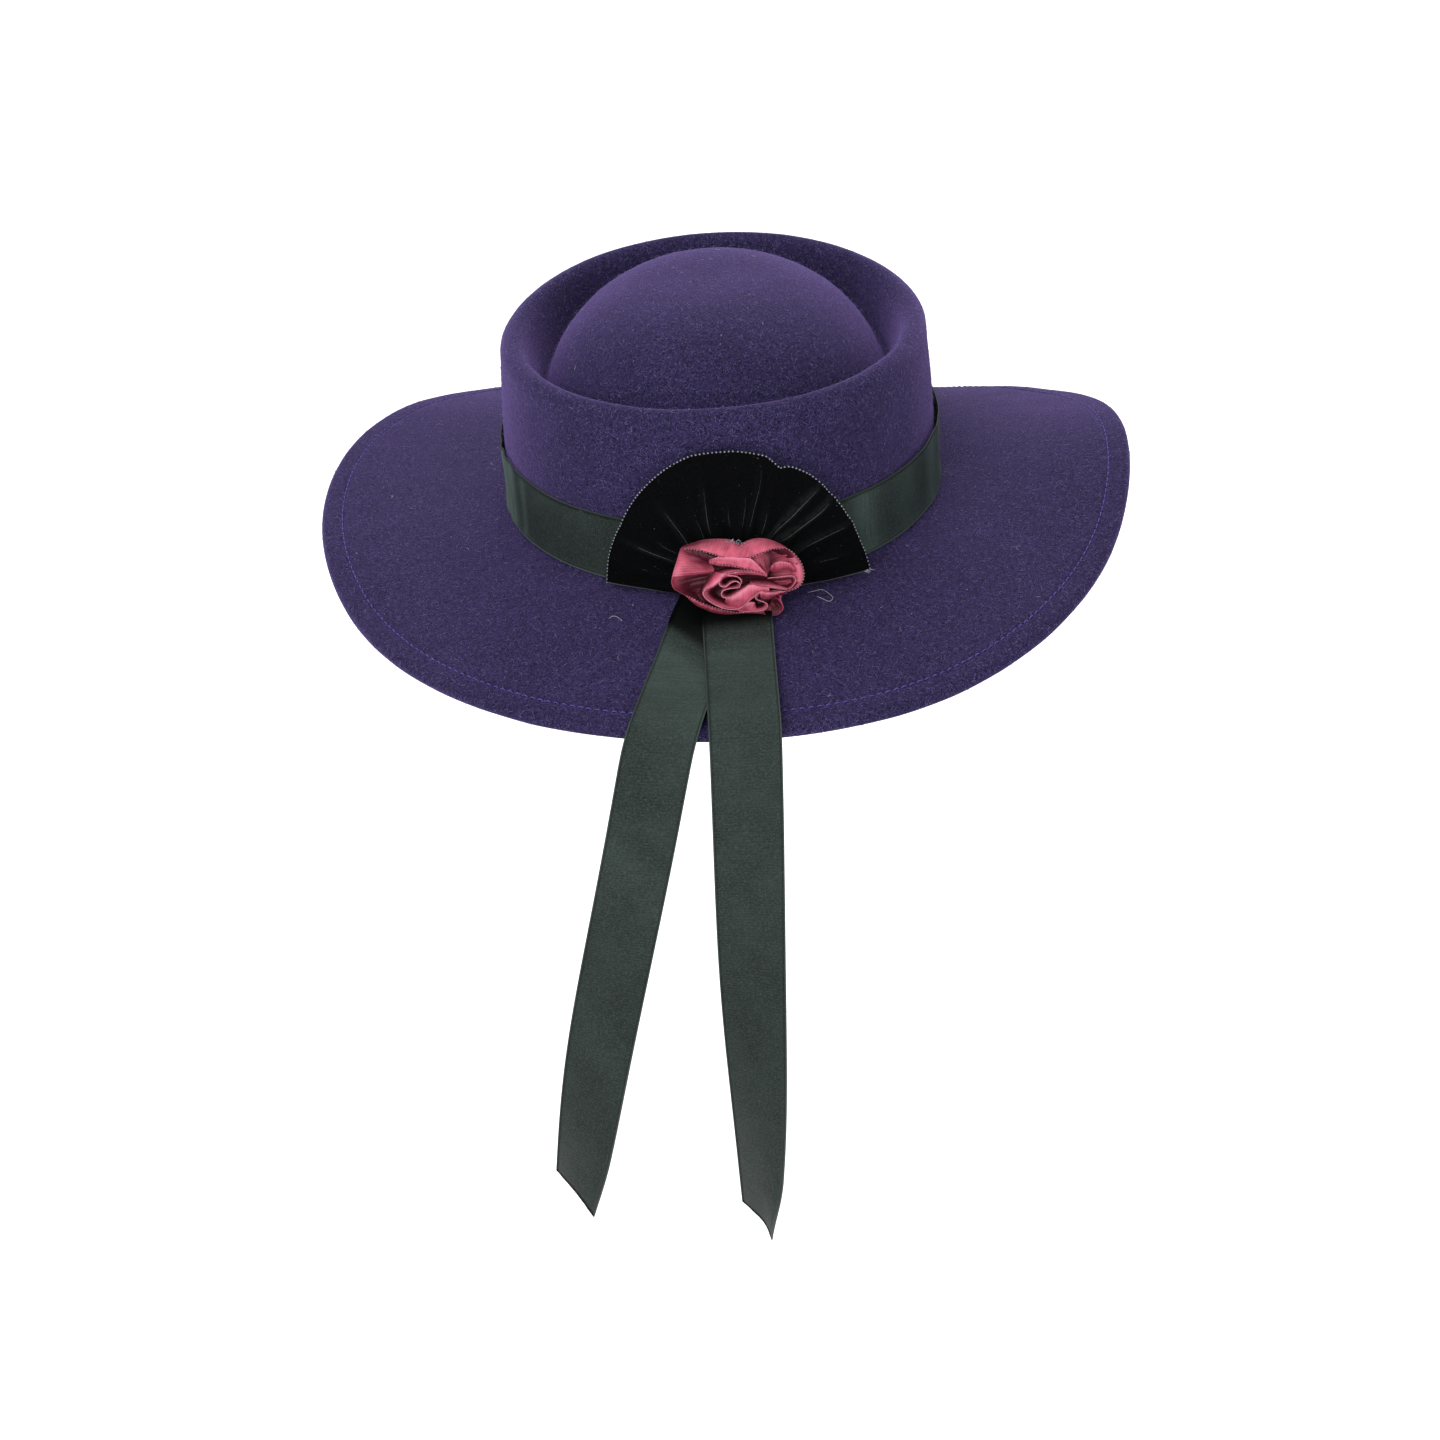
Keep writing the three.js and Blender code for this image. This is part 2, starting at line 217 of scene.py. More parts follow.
def roundThread(line, radius, sides=6, start=0, ends=0.6, taper=0.0):
    # thin closed tube along a line of points, rounded off at both ends or tapered all along
    points, faces = [], []
    last = len(line) - 1
    tangent = (Vector(line[1]) - Vector(line[0])).normalized()
    side = tangent.orthogonal().normalized()
    for index, centre in enumerate(line):
        ahead, behind = line[min(last, index + 1)], line[max(0, index - 1)]
        tangent = (Vector(ahead) - Vector(behind)).normalized()
        side = (side - tangent * side.dot(tangent)).normalized()
        other = tangent.cross(side)
        thick = radius * (ends if index in (0, last) else 1)
        thick *= 1 - taper * (1 - math.sin(math.pi * index / last))
        for turn in range(sides):
            angle = 2 * math.pi * turn / sides
            ring = side * math.cos(angle) + other * math.sin(angle)
            points.append(Vector(centre) + ring * thick)
    faces = gridFaces(len(line), sides, start, roundColumns=True)
    faces.append([start + turn for turn in range(sides)][::-1])
    faces.append([start + last * sides + turn for turn in range(sides)])
    return points, faces


def roundBead(centre, size, start=0):
    # small eight-sided bead for one loop of a picot edge
    points = [Vector(centre) + Vector(way) * size for way in (
        (1, 0, 0), (0, 1, 0), (-1, 0, 0), (0, -1, 0), (0, 0, 1), (0, 0, -1))]
    faces = [[start + side, start + (side + 1) % 4, start + 4] for side in range(4)]
    faces += [[start + (side + 1) % 4, start + side, start + 5] for side in range(4)]
    return points, faces


def gather(parts):
    points, faces = [], []
    for make in parts:
        morePoints, moreFaces = make(len(points))
        points += morePoints
        faces += moreFaces
    return points, faces


# camera at the photograph's viewing angle
view = {
    "place": (-8.13, -956.48, 429.63),
    "right": (0.99724, -0.03631, -0.06469),
    "up": (0.07419, 0.49232, 0.86725),
    "lens": 64.72,
    "sensor": 36.0,
}
cameraData = bpy.data.cameras.new("photoCamera")
cameraData.lens = view["lens"]
cameraData.sensor_width = view["sensor"]
cameraData.sensor_fit = "HORIZONTAL"
cameraData.clip_start = 0.05
cameraData.clip_end = 40
camera = bpy.data.objects.new("photoCamera", cameraData)
rightWay, upWay = Vector(view["right"]), Vector(view["up"])
backWay = rightWay.cross(upWay).normalized()
turned = Matrix((rightWay, upWay, backWay)).transposed().to_4x4()
camera.matrix_world = Matrix.Translation(Vector(view["place"]) * mm) @ turned
bpy.context.scene.collection.objects.link(camera)
bpy.context.scene.camera = camera
print("camera set")

# form of the hat, the same as its solid's
hat = {
    "crownHalfWidth": 86.0,
    "crownExtraLength": 17.2,
    "endRise": 2.0,
    "brimWidth": 76.0,
    "brimExtraFront": 2.0,
    "brimCurve": 1.12,
    "wall": 2.8,
    "weltDepth": 8.5,
    "weltThickness": 5.0,
    "rimRadius": 5.5,
    "rimCentre": 77.9,
    "rimHeight": 61.3,
    "grooveRadius": 67.4,
    "grooveHeight": 46.6,
    "domeHalfWidth": 65.5,
    "domeFoot": 48.0,
    "domeRise": 35.0,
    "domeForward": 3.0,
    "bandTop": 28.0,
    "leanBelow": 0.6,
    "leanAbove": 2.0,
    "turns": 288,
    # unevenness of the blocked felt: height and width of its slow and its finer swells
    "swells": [(0.55, 62), (0.22, 17)],
}
# height of the brim's edge every 30 degrees, from the wearer's right by way of the front
brimEdge = [10.5, -10, -33, -26, -17, 1, -0.2, -12.7, -16.7, -17.8, -17.8, -6.7]


def halfLength(halfWidth):
    full = hat["domeHalfWidth"] + 2 * hat["rimRadius"]
    return halfWidth + hat["crownExtraLength"] * min(1, halfWidth / full)


def shapeHat(radius, angle, height):
    onBrim = max(0, radius - hat["crownHalfWidth"]) / hat["brimWidth"]
    halfWidth = radius + onBrim * hat["brimExtraFront"] * math.sin(angle)
    inDome = max(0, 1 - (radius / hat["domeHalfWidth"]) ** 2)
    onCrown = max(0, height) / hat["rimHeight"] * radius / hat["crownHalfWidth"]
    return Vector((
        halfWidth * math.cos(angle),
        halfLength(halfWidth) * math.sin(angle) + hat["domeForward"] * inDome,
        height + hat["endRise"] * onCrown * math.sin(angle) ** 2
        + aroundTable(brimEdge, angle) * onBrim ** hat["brimCurve"],
    ))


def brimHeight(x, y):
    inner, outer = hat["crownHalfWidth"], hat["crownHalfWidth"] + hat["brimWidth"] * 1.1
    for step in range(30):
        middle = (inner + outer) / 2
        if (x / middle) ** 2 + (y / halfLength(middle)) ** 2 > 1:
            inner = middle
        else:
            outer = middle
    angle = math.atan2(y / halfLength(inner), x / inner)
    width = hat["brimWidth"] + hat["brimExtraFront"] * math.sin(angle)
    onBrim = max(0, inner - hat["crownHalfWidth"]) / width
    return aroundTable(brimEdge, angle) * onBrim ** hat["brimCurve"]


def wallRadius(height):
    lower = clamp(height / hat["bandTop"])
    upper = max(0, height - hat["bandTop"]) / (hat["rimHeight"] - hat["bandTop"])
    return hat["crownHalfWidth"] - hat["leanBelow"] * lower - hat["leanAbove"] * upper


def footFlare(height):
    return 0.6 * clamp(1 - (height - band["foot"]) / 4)


def domeHeight(share):
    return hat["domeFoot"] + hat["domeRise"] * (1 - share ** 3) ** 0.75


# felt body: one blocked shell, turned under at the brim's edge
def woolFeltBlocked():
    # wool felt, blocked and brushed: matt and deep, with a short nap that glows where it is
    # seen edge on, and single fibres in lighter and darker violets
    material = newMaterial("woolFeltBlocked")
    place = addNode(material, "TexCoord").outputs["Object"]
    # real fibres are 0.02 mm thick; their tangle is drawn as grains of about 0.8 mm
    fibre = addNode(material, "TexNoise", {
        "Vector": place, "Scale": 1 / (0.8 * mm), "Detail": 3, "Roughness": 0.75,
        "Distortion": 1.2}).outputs[0]
    cloud = addNode(material, "TexNoise", {
        "Vector": place, "Scale": 1 / (24 * mm), "Detail": 3, "Roughness": 0.6}).outputs[0]
    fleck = addNode(material, "TexNoise", {
        "Vector": place, "Scale": 1 / (0.9 * mm), "Detail": 2, "Roughness": 0.6,
        "Distortion": 2.5}).outputs[0]
    tangle = addNode(material, "MapRange", {
        "Value": fibre, "From Min": 0.4, "From Max": 0.6}).outputs[0]
    colour = addNode(material, "Mix", {
        0: tangle, 6: linearColour("0b0916"), 7: linearColour("372f59"),
    }, data_type="RGBA").outputs[2]
    uneven = addNode(material, "MapRange", {
        "Value": cloud, "From Min": 0.3, "From Max": 0.7, "To Max": 0.4}).outputs[0]
    shaded = addNode(material, "Mix", {
        0: uneven, 6: colour, 7: linearColour("1a1530")}, data_type="RGBA").outputs[2]
    loose = addNode(material, "MapRange", {
        "Value": fleck, "From Min": 0.57, "From Max": 0.69, "To Max": 0.7}).outputs[0]
    flecked = addNode(material, "Mix", {
        0: loose, 6: shaded, 7: linearColour("6b6190")}, data_type="RGBA").outputs[2]
    swell = addNode(material, "Bump", {
        "Height": cloud, "Distance": 0.5 * mm, "Strength": 0.25}).outputs[0]
    normal = addNode(material, "Bump", {
        "Height": fibre, "Distance": 0.35 * mm, "Strength": 0.8, "Normal": swell}).outputs[0]
    shader = addNode(material, "BsdfPrincipled", {
        "Base Color": flecked, "Normal": normal, "Roughness": 0.95, "IOR": 1.55,
        "Specular IOR Level": 0.1,
        "Sheen Weight": 0.85, "Sheen Roughness": 0.3, "Sheen Tint": linearColour("9277c6")})
    addNode(material, "OutputMaterial", {"Surface": shader.outputs[0]})
    return material


def threadSpun(name, colour):
    # spun thread or a single fibre: soft, its strands a little lighter and darker
    material = newMaterial(name)
    place = addNode(material, "TexCoord").outputs["Object"]
    twist = addNode(material, "TexNoise", {
        "Vector": place, "Scale": 1 / (0.5 * mm), "Detail": 1}).outputs[0]
    strand = addNode(material, "MapRange", {
        "Value": twist, "From Min": 0.35, "From Max": 0.65}).outputs[0]
    light = linearColour(colour)
    dark = [value * 0.55 for value in light[:3]] + [1]
    shaded = addNode(material, "Mix", {0: strand, 6: dark, 7: light}, data_type="RGBA").outputs[2]
    normal = addNode(material, "Bump", {
        "Height": twist, "Distance": 0.1 * mm, "Strength": 0.4}).outputs[0]
    shader = addNode(material, "BsdfPrincipled", {
        "Base Color": shaded, "Normal": normal, "Roughness": 0.5, "IOR": 1.55,
        "Specular IOR Level": 0.4})
    addNode(material, "OutputMaterial", {"Surface": shader.outputs[0]})
    return material


def feltSection():
    points = []
    for step in range(27):
        share = 0.99 * math.sin(step / 26 * math.pi / 2)
        points.append((share * hat["domeHalfWidth"], domeHeight(share)))
    groove, floor = hat["grooveRadius"], hat["grooveHeight"]
    inner = hat["rimCentre"] - hat["rimRadius"]
    points += [
        (groove - 1.8, floor + 1.9), (groove - 0.9, floor + 0.5), (groove + 0.3, floor),
        (groove + 1.3, floor + 0.3), (groove + 2.1, floor + 1.6), (groove + 2.8, floor + 4),
        (inner - 1.3, floor + 7), (inner - 0.3, floor + 10.3), (inner + 0.5, floor + 13.3),
        (inner + 1.4, floor + 16), (inner + 2.4, floor + 18), (inner + 3.6, floor + 19.4),
    ]
    for turn in range(92, -1, -12):
        points.append((
            hat["rimCentre"] + hat["rimRadius"] * math.cos(turn * degree),
            hat["rimHeight"] + hat["rimRadius"] * math.sin(turn * degree),
        ))
    levels = (57, 52, 47, 42, 37, 32, 28, 23, 18, 13, 8, 4.5)
    points += [(wallRadius(height), height) for height in levels]
    edge = hat["crownHalfWidth"]
    points += [(edge + 0.1, 2.6), (edge + 0.45, 1.5), (edge + 1.2, 0.6), (edge + 2.3, 0.15)]
    points += [(edge + 3.6, 0), (edge + 5.5, 0), (edge + 8, 0)]
    points += [(edge + 11 + 3.5 * step, 0) for step in range(16)]
    seam = edge + hat["brimWidth"] - hat["weltDepth"]
    points += [(seam + off, 0) for off in (-2.2, -1.3, -0.7, 0)]
    return points


def feltWelt():
    edge = hat["crownHalfWidth"] + hat["brimWidth"]
    seam, half = edge - hat["weltDepth"], hat["weltThickness"] / 2
    points = [(seam + off, 0) for off in (0.7, 1.3, 2.2, 3.6, 5)]
    points += [
        (edge - half + half * math.cos(turn * degree), half * math.sin(turn * degree) - half)
        for turn in range(90, -91, -18)
    ]
    points += [(seam + off, -2 * half) for off in (4, 2.2, 1.1)]
    points += [(seam + 0.35, -2 * half + 0.25), (seam + 0.1, -2 * half + 0.9)]
    return points


stitch = {
    "count": 300, "radius": 0.24, "sink": 0.4, "share": 0.36, "above": 0.12,
    # the threads under the brim: how far out they lie, and how much of an arch is left
    "underShift": 0.8, "underArch": 0.3,
}


def feltPoint(radius, angle, height):
    point = shapeHat(radius, angle, height)
    (slow, slowWidth), (fine, fineWidth) = hat["swells"]
    swell = slow * noise.noise(point / slowWidth) + fine * noise.noise(point / fineWidth)
    seam = hat["crownHalfWidth"] + hat["brimWidth"] - hat["weltDepth"]
    pucker = 0.75 + 0.25 * math.cos(angle * stitch["count"])
    sink = stitch["sink"] * bump(radius, seam, 0.9) * pucker
    onWall = ease(height, 1, 8) * ease(radius, 76, 84)
    out = Vector((math.cos(angle), math.sin(angle), 0)) * onWall + Vector((0, 0, 1 - onWall))
    return point + out * swell - Vector((0, 0, sink if abs(height) < 0.1 else 0))


def makeFelt():
    outside = feltSection()
    inside = []
    for index, (radius, height) in enumerate(outside):
        before = outside[max(0, index - 1)]
        after = outside[min(len(outside) - 1, index + 1)]
        run, rise = after[0] - before[0], after[1] - before[1]
        length = math.hypot(run, rise)
        inside.append((radius + hat["wall"] * rise / length, height - hat["wall"] * run / length))
    inside[0] = (0, outside[0][1] - hat["wall"])
    section = outside[1:] + feltWelt() + inside[:0:-1]
    turns = hat["turns"]
    points = []
    for radius, height in section:
        for turn in range(turns):
            points.append(feltPoint(radius, 2 * math.pi * turn / turns, height))
    faces = gridFaces(len(section), turns, roundColumns=True, flip=True)
    for centre, row, flip in ((outside[0], 0, False), (inside[0], len(section) - 1, True)):
        points.append(feltPoint(centre[0], 0, centre[1]))
        for turn in range(turns):
            face = [row * turns + turn, row * turns + (turn + 1) % turns, len(points) - 1]
            faces.append(face[::-1] if flip else face)
    return points, faces


makePiece("feltHat", *makeFelt(), woolFeltBlocked(), "wool_felt", node="felt_body")
print("felt body made")

# loose fibres of the nap: most lie on the felt, and some stand off it
nap = {
    "count": 12500, "shortest": 0.9, "longest": 2.8, "radius": 0.055, "stand": 1.2, "curve": 2.4,
    "seed": 11,
}


def makeNap():
    chance = random.Random(nap["seed"])
    section = feltSection() + feltWelt()[:14]
    weights = [
        (a[0] + b[0] + 1) * math.dist(a, b) for a, b in zip(section, section[1:])
    ]
    parts = []
    for first in chance.choices(range(len(weights)), weights, k=nap["count"]):
        share = chance.random()
        angle = chance.random() * 2 * math.pi
        length = mix(nap["shortest"], nap["longest"], chance.random() ** 2)
        way = chance.random() * 2 * math.pi
        curve = (chance.random() - 0.5) * nap["curve"]
        lift = nap["stand"] * chance.random() ** 3

        def onFelt(run, turn, up, first=first, share=share, angle=angle):
            a, b = section[first], section[first + 1]
            size = math.dist(a, b)
            radius = max(0.5, mix(a[0], b[0], share) + run * (b[0] - a[0]) / size)
            height = mix(a[1], b[1], share) + run * (b[1] - a[1]) / size
            return feltPoint(radius - up * (b[1] - a[1]) / size, angle + turn / radius,
                             height + up * (b[0] - a[0]) / size)

        def oneFibre(start, way=way, curve=curve, length=length, lift=lift, onFelt=onFelt):
            line = []
            for step in range(3):
                go = way + curve * (step - 1) * 0.5
                far = length * (step - 1) / 2
                line.append(onFelt(far * math.cos(go), far * math.sin(go),
                                   nap["radius"] + lift * (0.4, 1.0, 0.7)[step]))
            return roundThread(line, nap["radius"], 3, start)
        parts.append(oneFibre)
    return gather(parts)


napFibre = threadSpun("woolFibreLoose", "7d70a8")
makePiece("feltNap", *makeNap(), napFibre, "wool_felt")
print("nap made")

# row of stitches that holds the turned-under edge
def makeStitches():
    seam = hat["crownHalfWidth"] + hat["brimWidth"] - hat["weltDepth"]
    parts = []
    for under in (False, True):
        for number in range(stitch["count"]):
            def oneStitch(start, number=number, under=under):
                middle = 2 * math.pi * (number + 0.5) / stitch["count"]
                span = 2 * math.pi / stitch["count"] * stitch["share"]
                line = []
                for step in range(5):
                    share = step / 2 - 1
                    height = -hat["weltThickness"] if under else 0
                    radius = seam + (stitch["underShift"] if under else 0)
                    point = feltPoint(radius, middle + span * share, height)
                    arch = stitch["radius"] * (0.9 - 1.3 * share * share)
                    # the under thread is pulled flat into the felt
                    up = -stitch["underArch"] * arch if under else arch + stitch["above"]
                    line.append(point + Vector((0, 0, up)))
                return roundThread(line, stitch["radius"], 5, start)
            parts.append(oneStitch)
    return gather(parts)


violetThread = threadSpun("violetPolyesterThread", "5b47a6")
makePiece("brimStitches", *makeStitches(), violetThread, "wool_felt")
print("brim stitches made")


# satin ribbons: the band and both tails
def satinRibbonWoven():
    # polyester satin, woven: dark green grey, a soft wide sheen across the floats of the weave,
    # fine cross ribs, a denser, lighter selvedge along each edge, and painted sheen and shade from
    # the marks
    material = newMaterial("satinRibbonWoven")
    mark = addNode(material, "Attribute", attribute_name="clothPlaceAndPaintedLight").outputs["Vector"]
    split = addNode(material, "SeparateXYZ", {"Vector": mark})
    place = addNode(material, "TexCoord").outputs["Object"]
    cloud = addNode(material, "TexNoise", {
        "Vector": place, "Scale": 1 / (14 * mm), "Detail": 3, "Roughness": 0.55}).outputs[0]
    dust = addNode(material, "TexNoise", {
        "Vector": place, "Scale": 1 / (0.7 * mm), "Detail": 3, "Roughness": 0.7}).outputs[0]
    # real floats are about 0.2 mm apart; drawn at 0.6 mm so that they show
    ribs = addNode(material, "TexWave", {
        "Vector": mark, "Scale": 1 / (2 * math.pi * 0.6), "Distortion": 0.6, "Detail": 1.0,
    }, bands_direction="X").outputs["Fac"]
    uneven = addNode(material, "MapRange", {
        "Value": cloud, "From Min": 0.3, "From Max": 0.7}).outputs[0]
    colour = addNode(material, "Mix", {
        0: uneven, 6: linearColour("1a201f"), 7: linearColour("262e2c"),
    }, data_type="RGBA").outputs[2]
    floats = addNode(material, "MapRange", {"Value": ribs, "To Max": 0.2}).outputs[0]
    ribbed = addNode(material, "Mix", {
        0: floats, 6: colour, 7: linearColour("363f3c")}, data_type="RGBA").outputs[2]
    speck = addNode(material, "MapRange", {
        "Value": dust, "From Min": 0.45, "From Max": 0.62, "To Max": 0.6}).outputs[0]
    speckled = addNode(material, "Mix", {
        0: speck, 6: ribbed, 7: linearColour("3a4440")}, data_type="RGBA").outputs[2]
    # painted sheen: lighter where the marks put the floats towards the light, in streaks across
    # the ribbon
    drawn = addNode(material, "Mapping", {"Vector": mark, "Scale": (1, 0.07, 0)}).outputs[0]
    streak = addNode(material, "TexNoise", {
        "Vector": drawn, "Scale": 1 / 1.6, "Detail": 2, "Roughness": 0.6}).outputs[0]
    streaky = addNode(material, "MapRange", {
        "Value": streak, "From Min": 0.38, "From Max": 0.62, "To Min": 0.65}).outputs[0]
    paintedLightLevel = addNode(material, "Math", {
        0: split.outputs["Z"], 1: streaky}, operation="MULTIPLY", use_clamp=True).outputs[0]
    withPaintedHighlight = addNode(material, "Mix", {
        0: paintedLightLevel, 6: speckled, 7: linearColour("60736c")}, data_type="RGBA").outputs[2]
    across = addNode(material, "Math", {0: split.outputs["Y"]}, operation="ABSOLUTE").outputs[0]
    seam = addNode(material, "MapRange", {
        "Value": across, "From Min": 11.4, "From Max": 11.8, "To Max": 0.45}).outputs[0]
    seamed = addNode(material, "Mix", {
        0: seam, 6: withPaintedHighlight, 7: linearColour("0c1010")}, data_type="RGBA").outputs[2]
    selvedge = addNode(material, "MapRange", {
        "Value": across, "From Min": 12.1, "From Max": 12.4}).outputs[0]
    edged = addNode(material, "Mix", {
        0: selvedge, 6: seamed, 7: linearColour("3f4945")}, data_type="RGBA").outputs[2]
    # cut end, sealed and dark; the same dark mix paints shade where the marks fall below -0.2,
    # under the rosette and down the tails
    cut = addNode(material, "MapRange", {
        "Value": split.outputs["Z"], "From Min": -0.2, "From Max": -1.0}).outputs[0]
    sealedEndAndPaintedShade = addNode(material, "Mix", {
        0: cut, 6: edged, 7: linearColour("040606")}, data_type="RGBA").outputs[2]
    lint = addNode(material, "MapRange", {
        "Value": dust, "From Min": 0.7, "From Max": 0.78, "To Max": 0.55}).outputs[0]
    dusty = addNode(material, "Mix", {
        0: lint, 6: sealedEndAndPaintedShade, 7: linearColour("76807c")}, data_type="RGBA").outputs[2]
    rough = addNode(material, "Bump", {
        "Height": ribs, "Distance": 0.08 * mm, "Strength": 0.35}).outputs[0]
    normal = addNode(material, "Bump", {
        "Height": cloud, "Distance": 0.8 * mm, "Strength": 0.35, "Normal": rough}).outputs[0]
    shader = addNode(material, "BsdfPrincipled", {
        "Base Color": dusty, "Normal": normal, "Roughness": 0.46, "IOR": 1.57,
        "Specular IOR Level": 0.05,
        "Sheen Weight": 0.05, "Sheen Roughness": 0.35, "Sheen Tint": linearColour("a9b8b2")})
    addNode(material, "OutputMaterial", {"Surface": shader.outputs[0]})
    return material


band = {
    "height": 25.4, "flatLength": 600, "foot": 1.5, "slack": 0.7, "thickness": 0.45,
    "standOff": 0.45, "wander": 0.25, "wanderWidth": 19, "edgeWidth": 30,
    "steps": 540, "levels": 14,
    # ripples where the band turns the crown's sides: degrees, width, height out, slant
    "ripples": [
        (187, 0.8, 0.45, 2), (190, 0.8, 0.6, -1), (193, 0.9, 0.6, 1.5), (196.5, 1.1, 0.55, -2),
        (201, 1.8, 0.35, 3), (207, 3, 0.3, -3),
        (214, 6, 0.25, 6), (322, 5, 0.35, 5), (334, 4, 0.45, -4), (343, 3, 0.4, 3),
        (352, 5, 0.3, 2), (20, 6, 0.3, 5), (75, 5, 0.3, -4), (120, 7, 0.3, 4), (160, 4, 0.35, 3),
    ],
    # painted sheen on the band: degrees, width, strength
    "paintedLightTable": [(191, 5.5, 0.95), (199, 3, 0.45), (207, 1.5, 0.25), (306, 5, 0.3), (323, 6, 0.12),
              (338, 5, 0.3), (350, 5, 0.4)],
}


def bandPoint(share, level):
    angle = 2 * math.pi * share
    height = band["foot"] + band["height"] * level
    off = band["slack"] * level * abs(math.cos(angle)) ** 6
    ripple = 0
    for at, width, out, slant in band["ripples"]:
        away = (angle / degree - at - slant * (level - 0.5) + 180) % 360 - 180
        ripple += out * bump(away, 0, width) * (0.35 + 0.65 * abs(level - 0.35) * 1.5)
    radius = wallRadius(height) + gap + band["standOff"] + footFlare(height) + off
    point = shapeHat(radius, angle, height)
    wander = band["wander"] * noise.noise(point / band["wanderWidth"])
    wander *= 0.4 + 1.2 * abs(level - 0.5)
    out = Vector((math.cos(angle), math.sin(angle), 0))
    point += out * (clamp(ripple, 0, 1.2) + max(-0.1, wander))
    point.z = height + band["wander"] * noise.noise(point / band["edgeWidth"] + Vector((7, 0, 0)))
    return point


def bandMark(share, level):
    # painted sheen from the table, carried in the third mark
    paintedLightLevel = sum(strength * bump((share * 360 - at + 180) % 360 - 180, 0, width)
              for at, width, strength in band["paintedLightTable"])
    return (share * band["flatLength"], (level - 0.5) * band["height"], paintedLightLevel)


satin = satinRibbonWoven()
hatBand = makeCloth("hatBand", bandPoint, band["steps"], band["levels"], band["thickness"],
                    satin, "satin_ribbon", "hat_band", bandMark, roundAlong=True)
print("band made")

# cockade: a half disc of velvet ribbon, gathered at its middle
cockade = {
    "flatLength": 157, "flatWidth": 44, "middle": 3.4, "foot": 1.6, "innerRadius": 6.0,
    "thickness": 1.2, "standOff": 0.215,
    "pleatDepth": 1.1, "pleats": 9, "along": 420, "across": 50,
    # outline: degrees from the wearer's right, radius
    "outline": [
        (0, 49.5), (14, 47.5), (30, 46.8), (44, 47.5), (56, 49), (66, 49.3), (71, 48.2), (78, 52),
        (90, 53.6), (106, 54.8), (128, 51.4), (150, 48.8), (180, 50),
    ],
    # creases: degrees and radius at the outer end, then at the inner end, height, strength of the
    # painted sheen
    "creases": [
        (156, 44, 148, 24, 0.9, 0.6), (145, 36, 143, 22, 0.8, 0.12), (129, 42, 133, 22, 1.1, 0.35),
        (117, 34, 121, 20, 0.8, 0.1), (106, 42, 114, 22, 1.2, 0.22), (95, 33, 99, 20, 0.9, 0.12),
        (86, 36, 88, 20, 0.8, 0.1), (79, 46, 82, 24, 1.3, 0.12), (71, 33, 75, 20, 1.0, 0.16),
        (50, 47, 64, 23, 1.3, 0.9), (41, 48, 53, 24, 1.2, 0.8), (25, 47, 35, 26, 0.9, 0.4),
        (12, 40, 18, 24, 0.6, 0.1), (168, 40, 165, 26, 0.5, 0.1),
    ],
    "creaseWidth": 1.1, "creaseBow": 0.45,
    # small gathers that die away between these radii, mostly hidden by the rosette
    "gathers": 26, "gatherDepth": 1.25, "gathersFade": (16, 36),
    # where one half of the disc laps over the other: degrees from and to, height
    "lapFrom": 68, "lapTo": 72.5, "lapHeight": 1.3,
    "wander": 0.35, "wanderWidth": 9,
    # painted sheen of the pile that a crease lays over, and the size of its painted glint line
    "softShine": 0.04, "sharpAbove": 0.05, "sharpRadius": 0.13,
    # picot edge: real loops are about 1.05 mm apart, and are drawn wider apart so that they show
    "edgeSteps": 600, "loopPitch": 1.5, "loop": 0.41, "loopOut": 0.35,
}


def backOfCrown(along, height):
    # the point a length along the crown's back, and the way out of the wall there
    halfWidth = wallRadius(height)
    length = halfLength(halfWidth)
    angle = -math.pi / 2
    for step in range(24):
        speed = math.hypot(halfWidth * math.sin(angle), length * math.cos(angle))
        angle += along / 24 / speed
    point = Vector((halfWidth * math.cos(angle), length * math.sin(angle), height))
    out = Vector((length * math.cos(angle), halfWidth * math.sin(angle), 0)).normalized()
    return point, out


def onDisc(angle, radius):
    return Vector((radius * math.cos(angle * degree), radius * math.sin(angle * degree)))


def creaseAt(x, y):
    # how far the velvet rises at a crease, and how strong the painted sheen along its ridge is
    rise, creaseSheen = 0, 0
    for outerAngle, outer, innerAngle, inner, height, light in cockade["creases"]:
        start, end = onDisc(outerAngle, outer), onDisc(innerAngle, inner)
        run = end - start
        share = (Vector((x, y)) - start).dot(run) / run.length_squared
        if -0.4 < share < 1.6:
            near = start + run * share
            bow = cockade["creaseBow"] * math.sin(share * 4 + outerAngle)
            away = (Vector((x, y)) - near).cross(run.normalized()) - bow
            fade = ease(share, -0.35, 0.3) * (1 - ease(share, 1.1, 1.6))
            width = cockade["creaseWidth"] * (1.5 - 0.5 * clamp(share))
            rise += height * bump(away, 0, width) * fade
            creaseSheen = max(creaseSheen, cockade["softShine"] * light * bump(away, 0.5, 1.2) * fade)
    return rise, creaseSheen


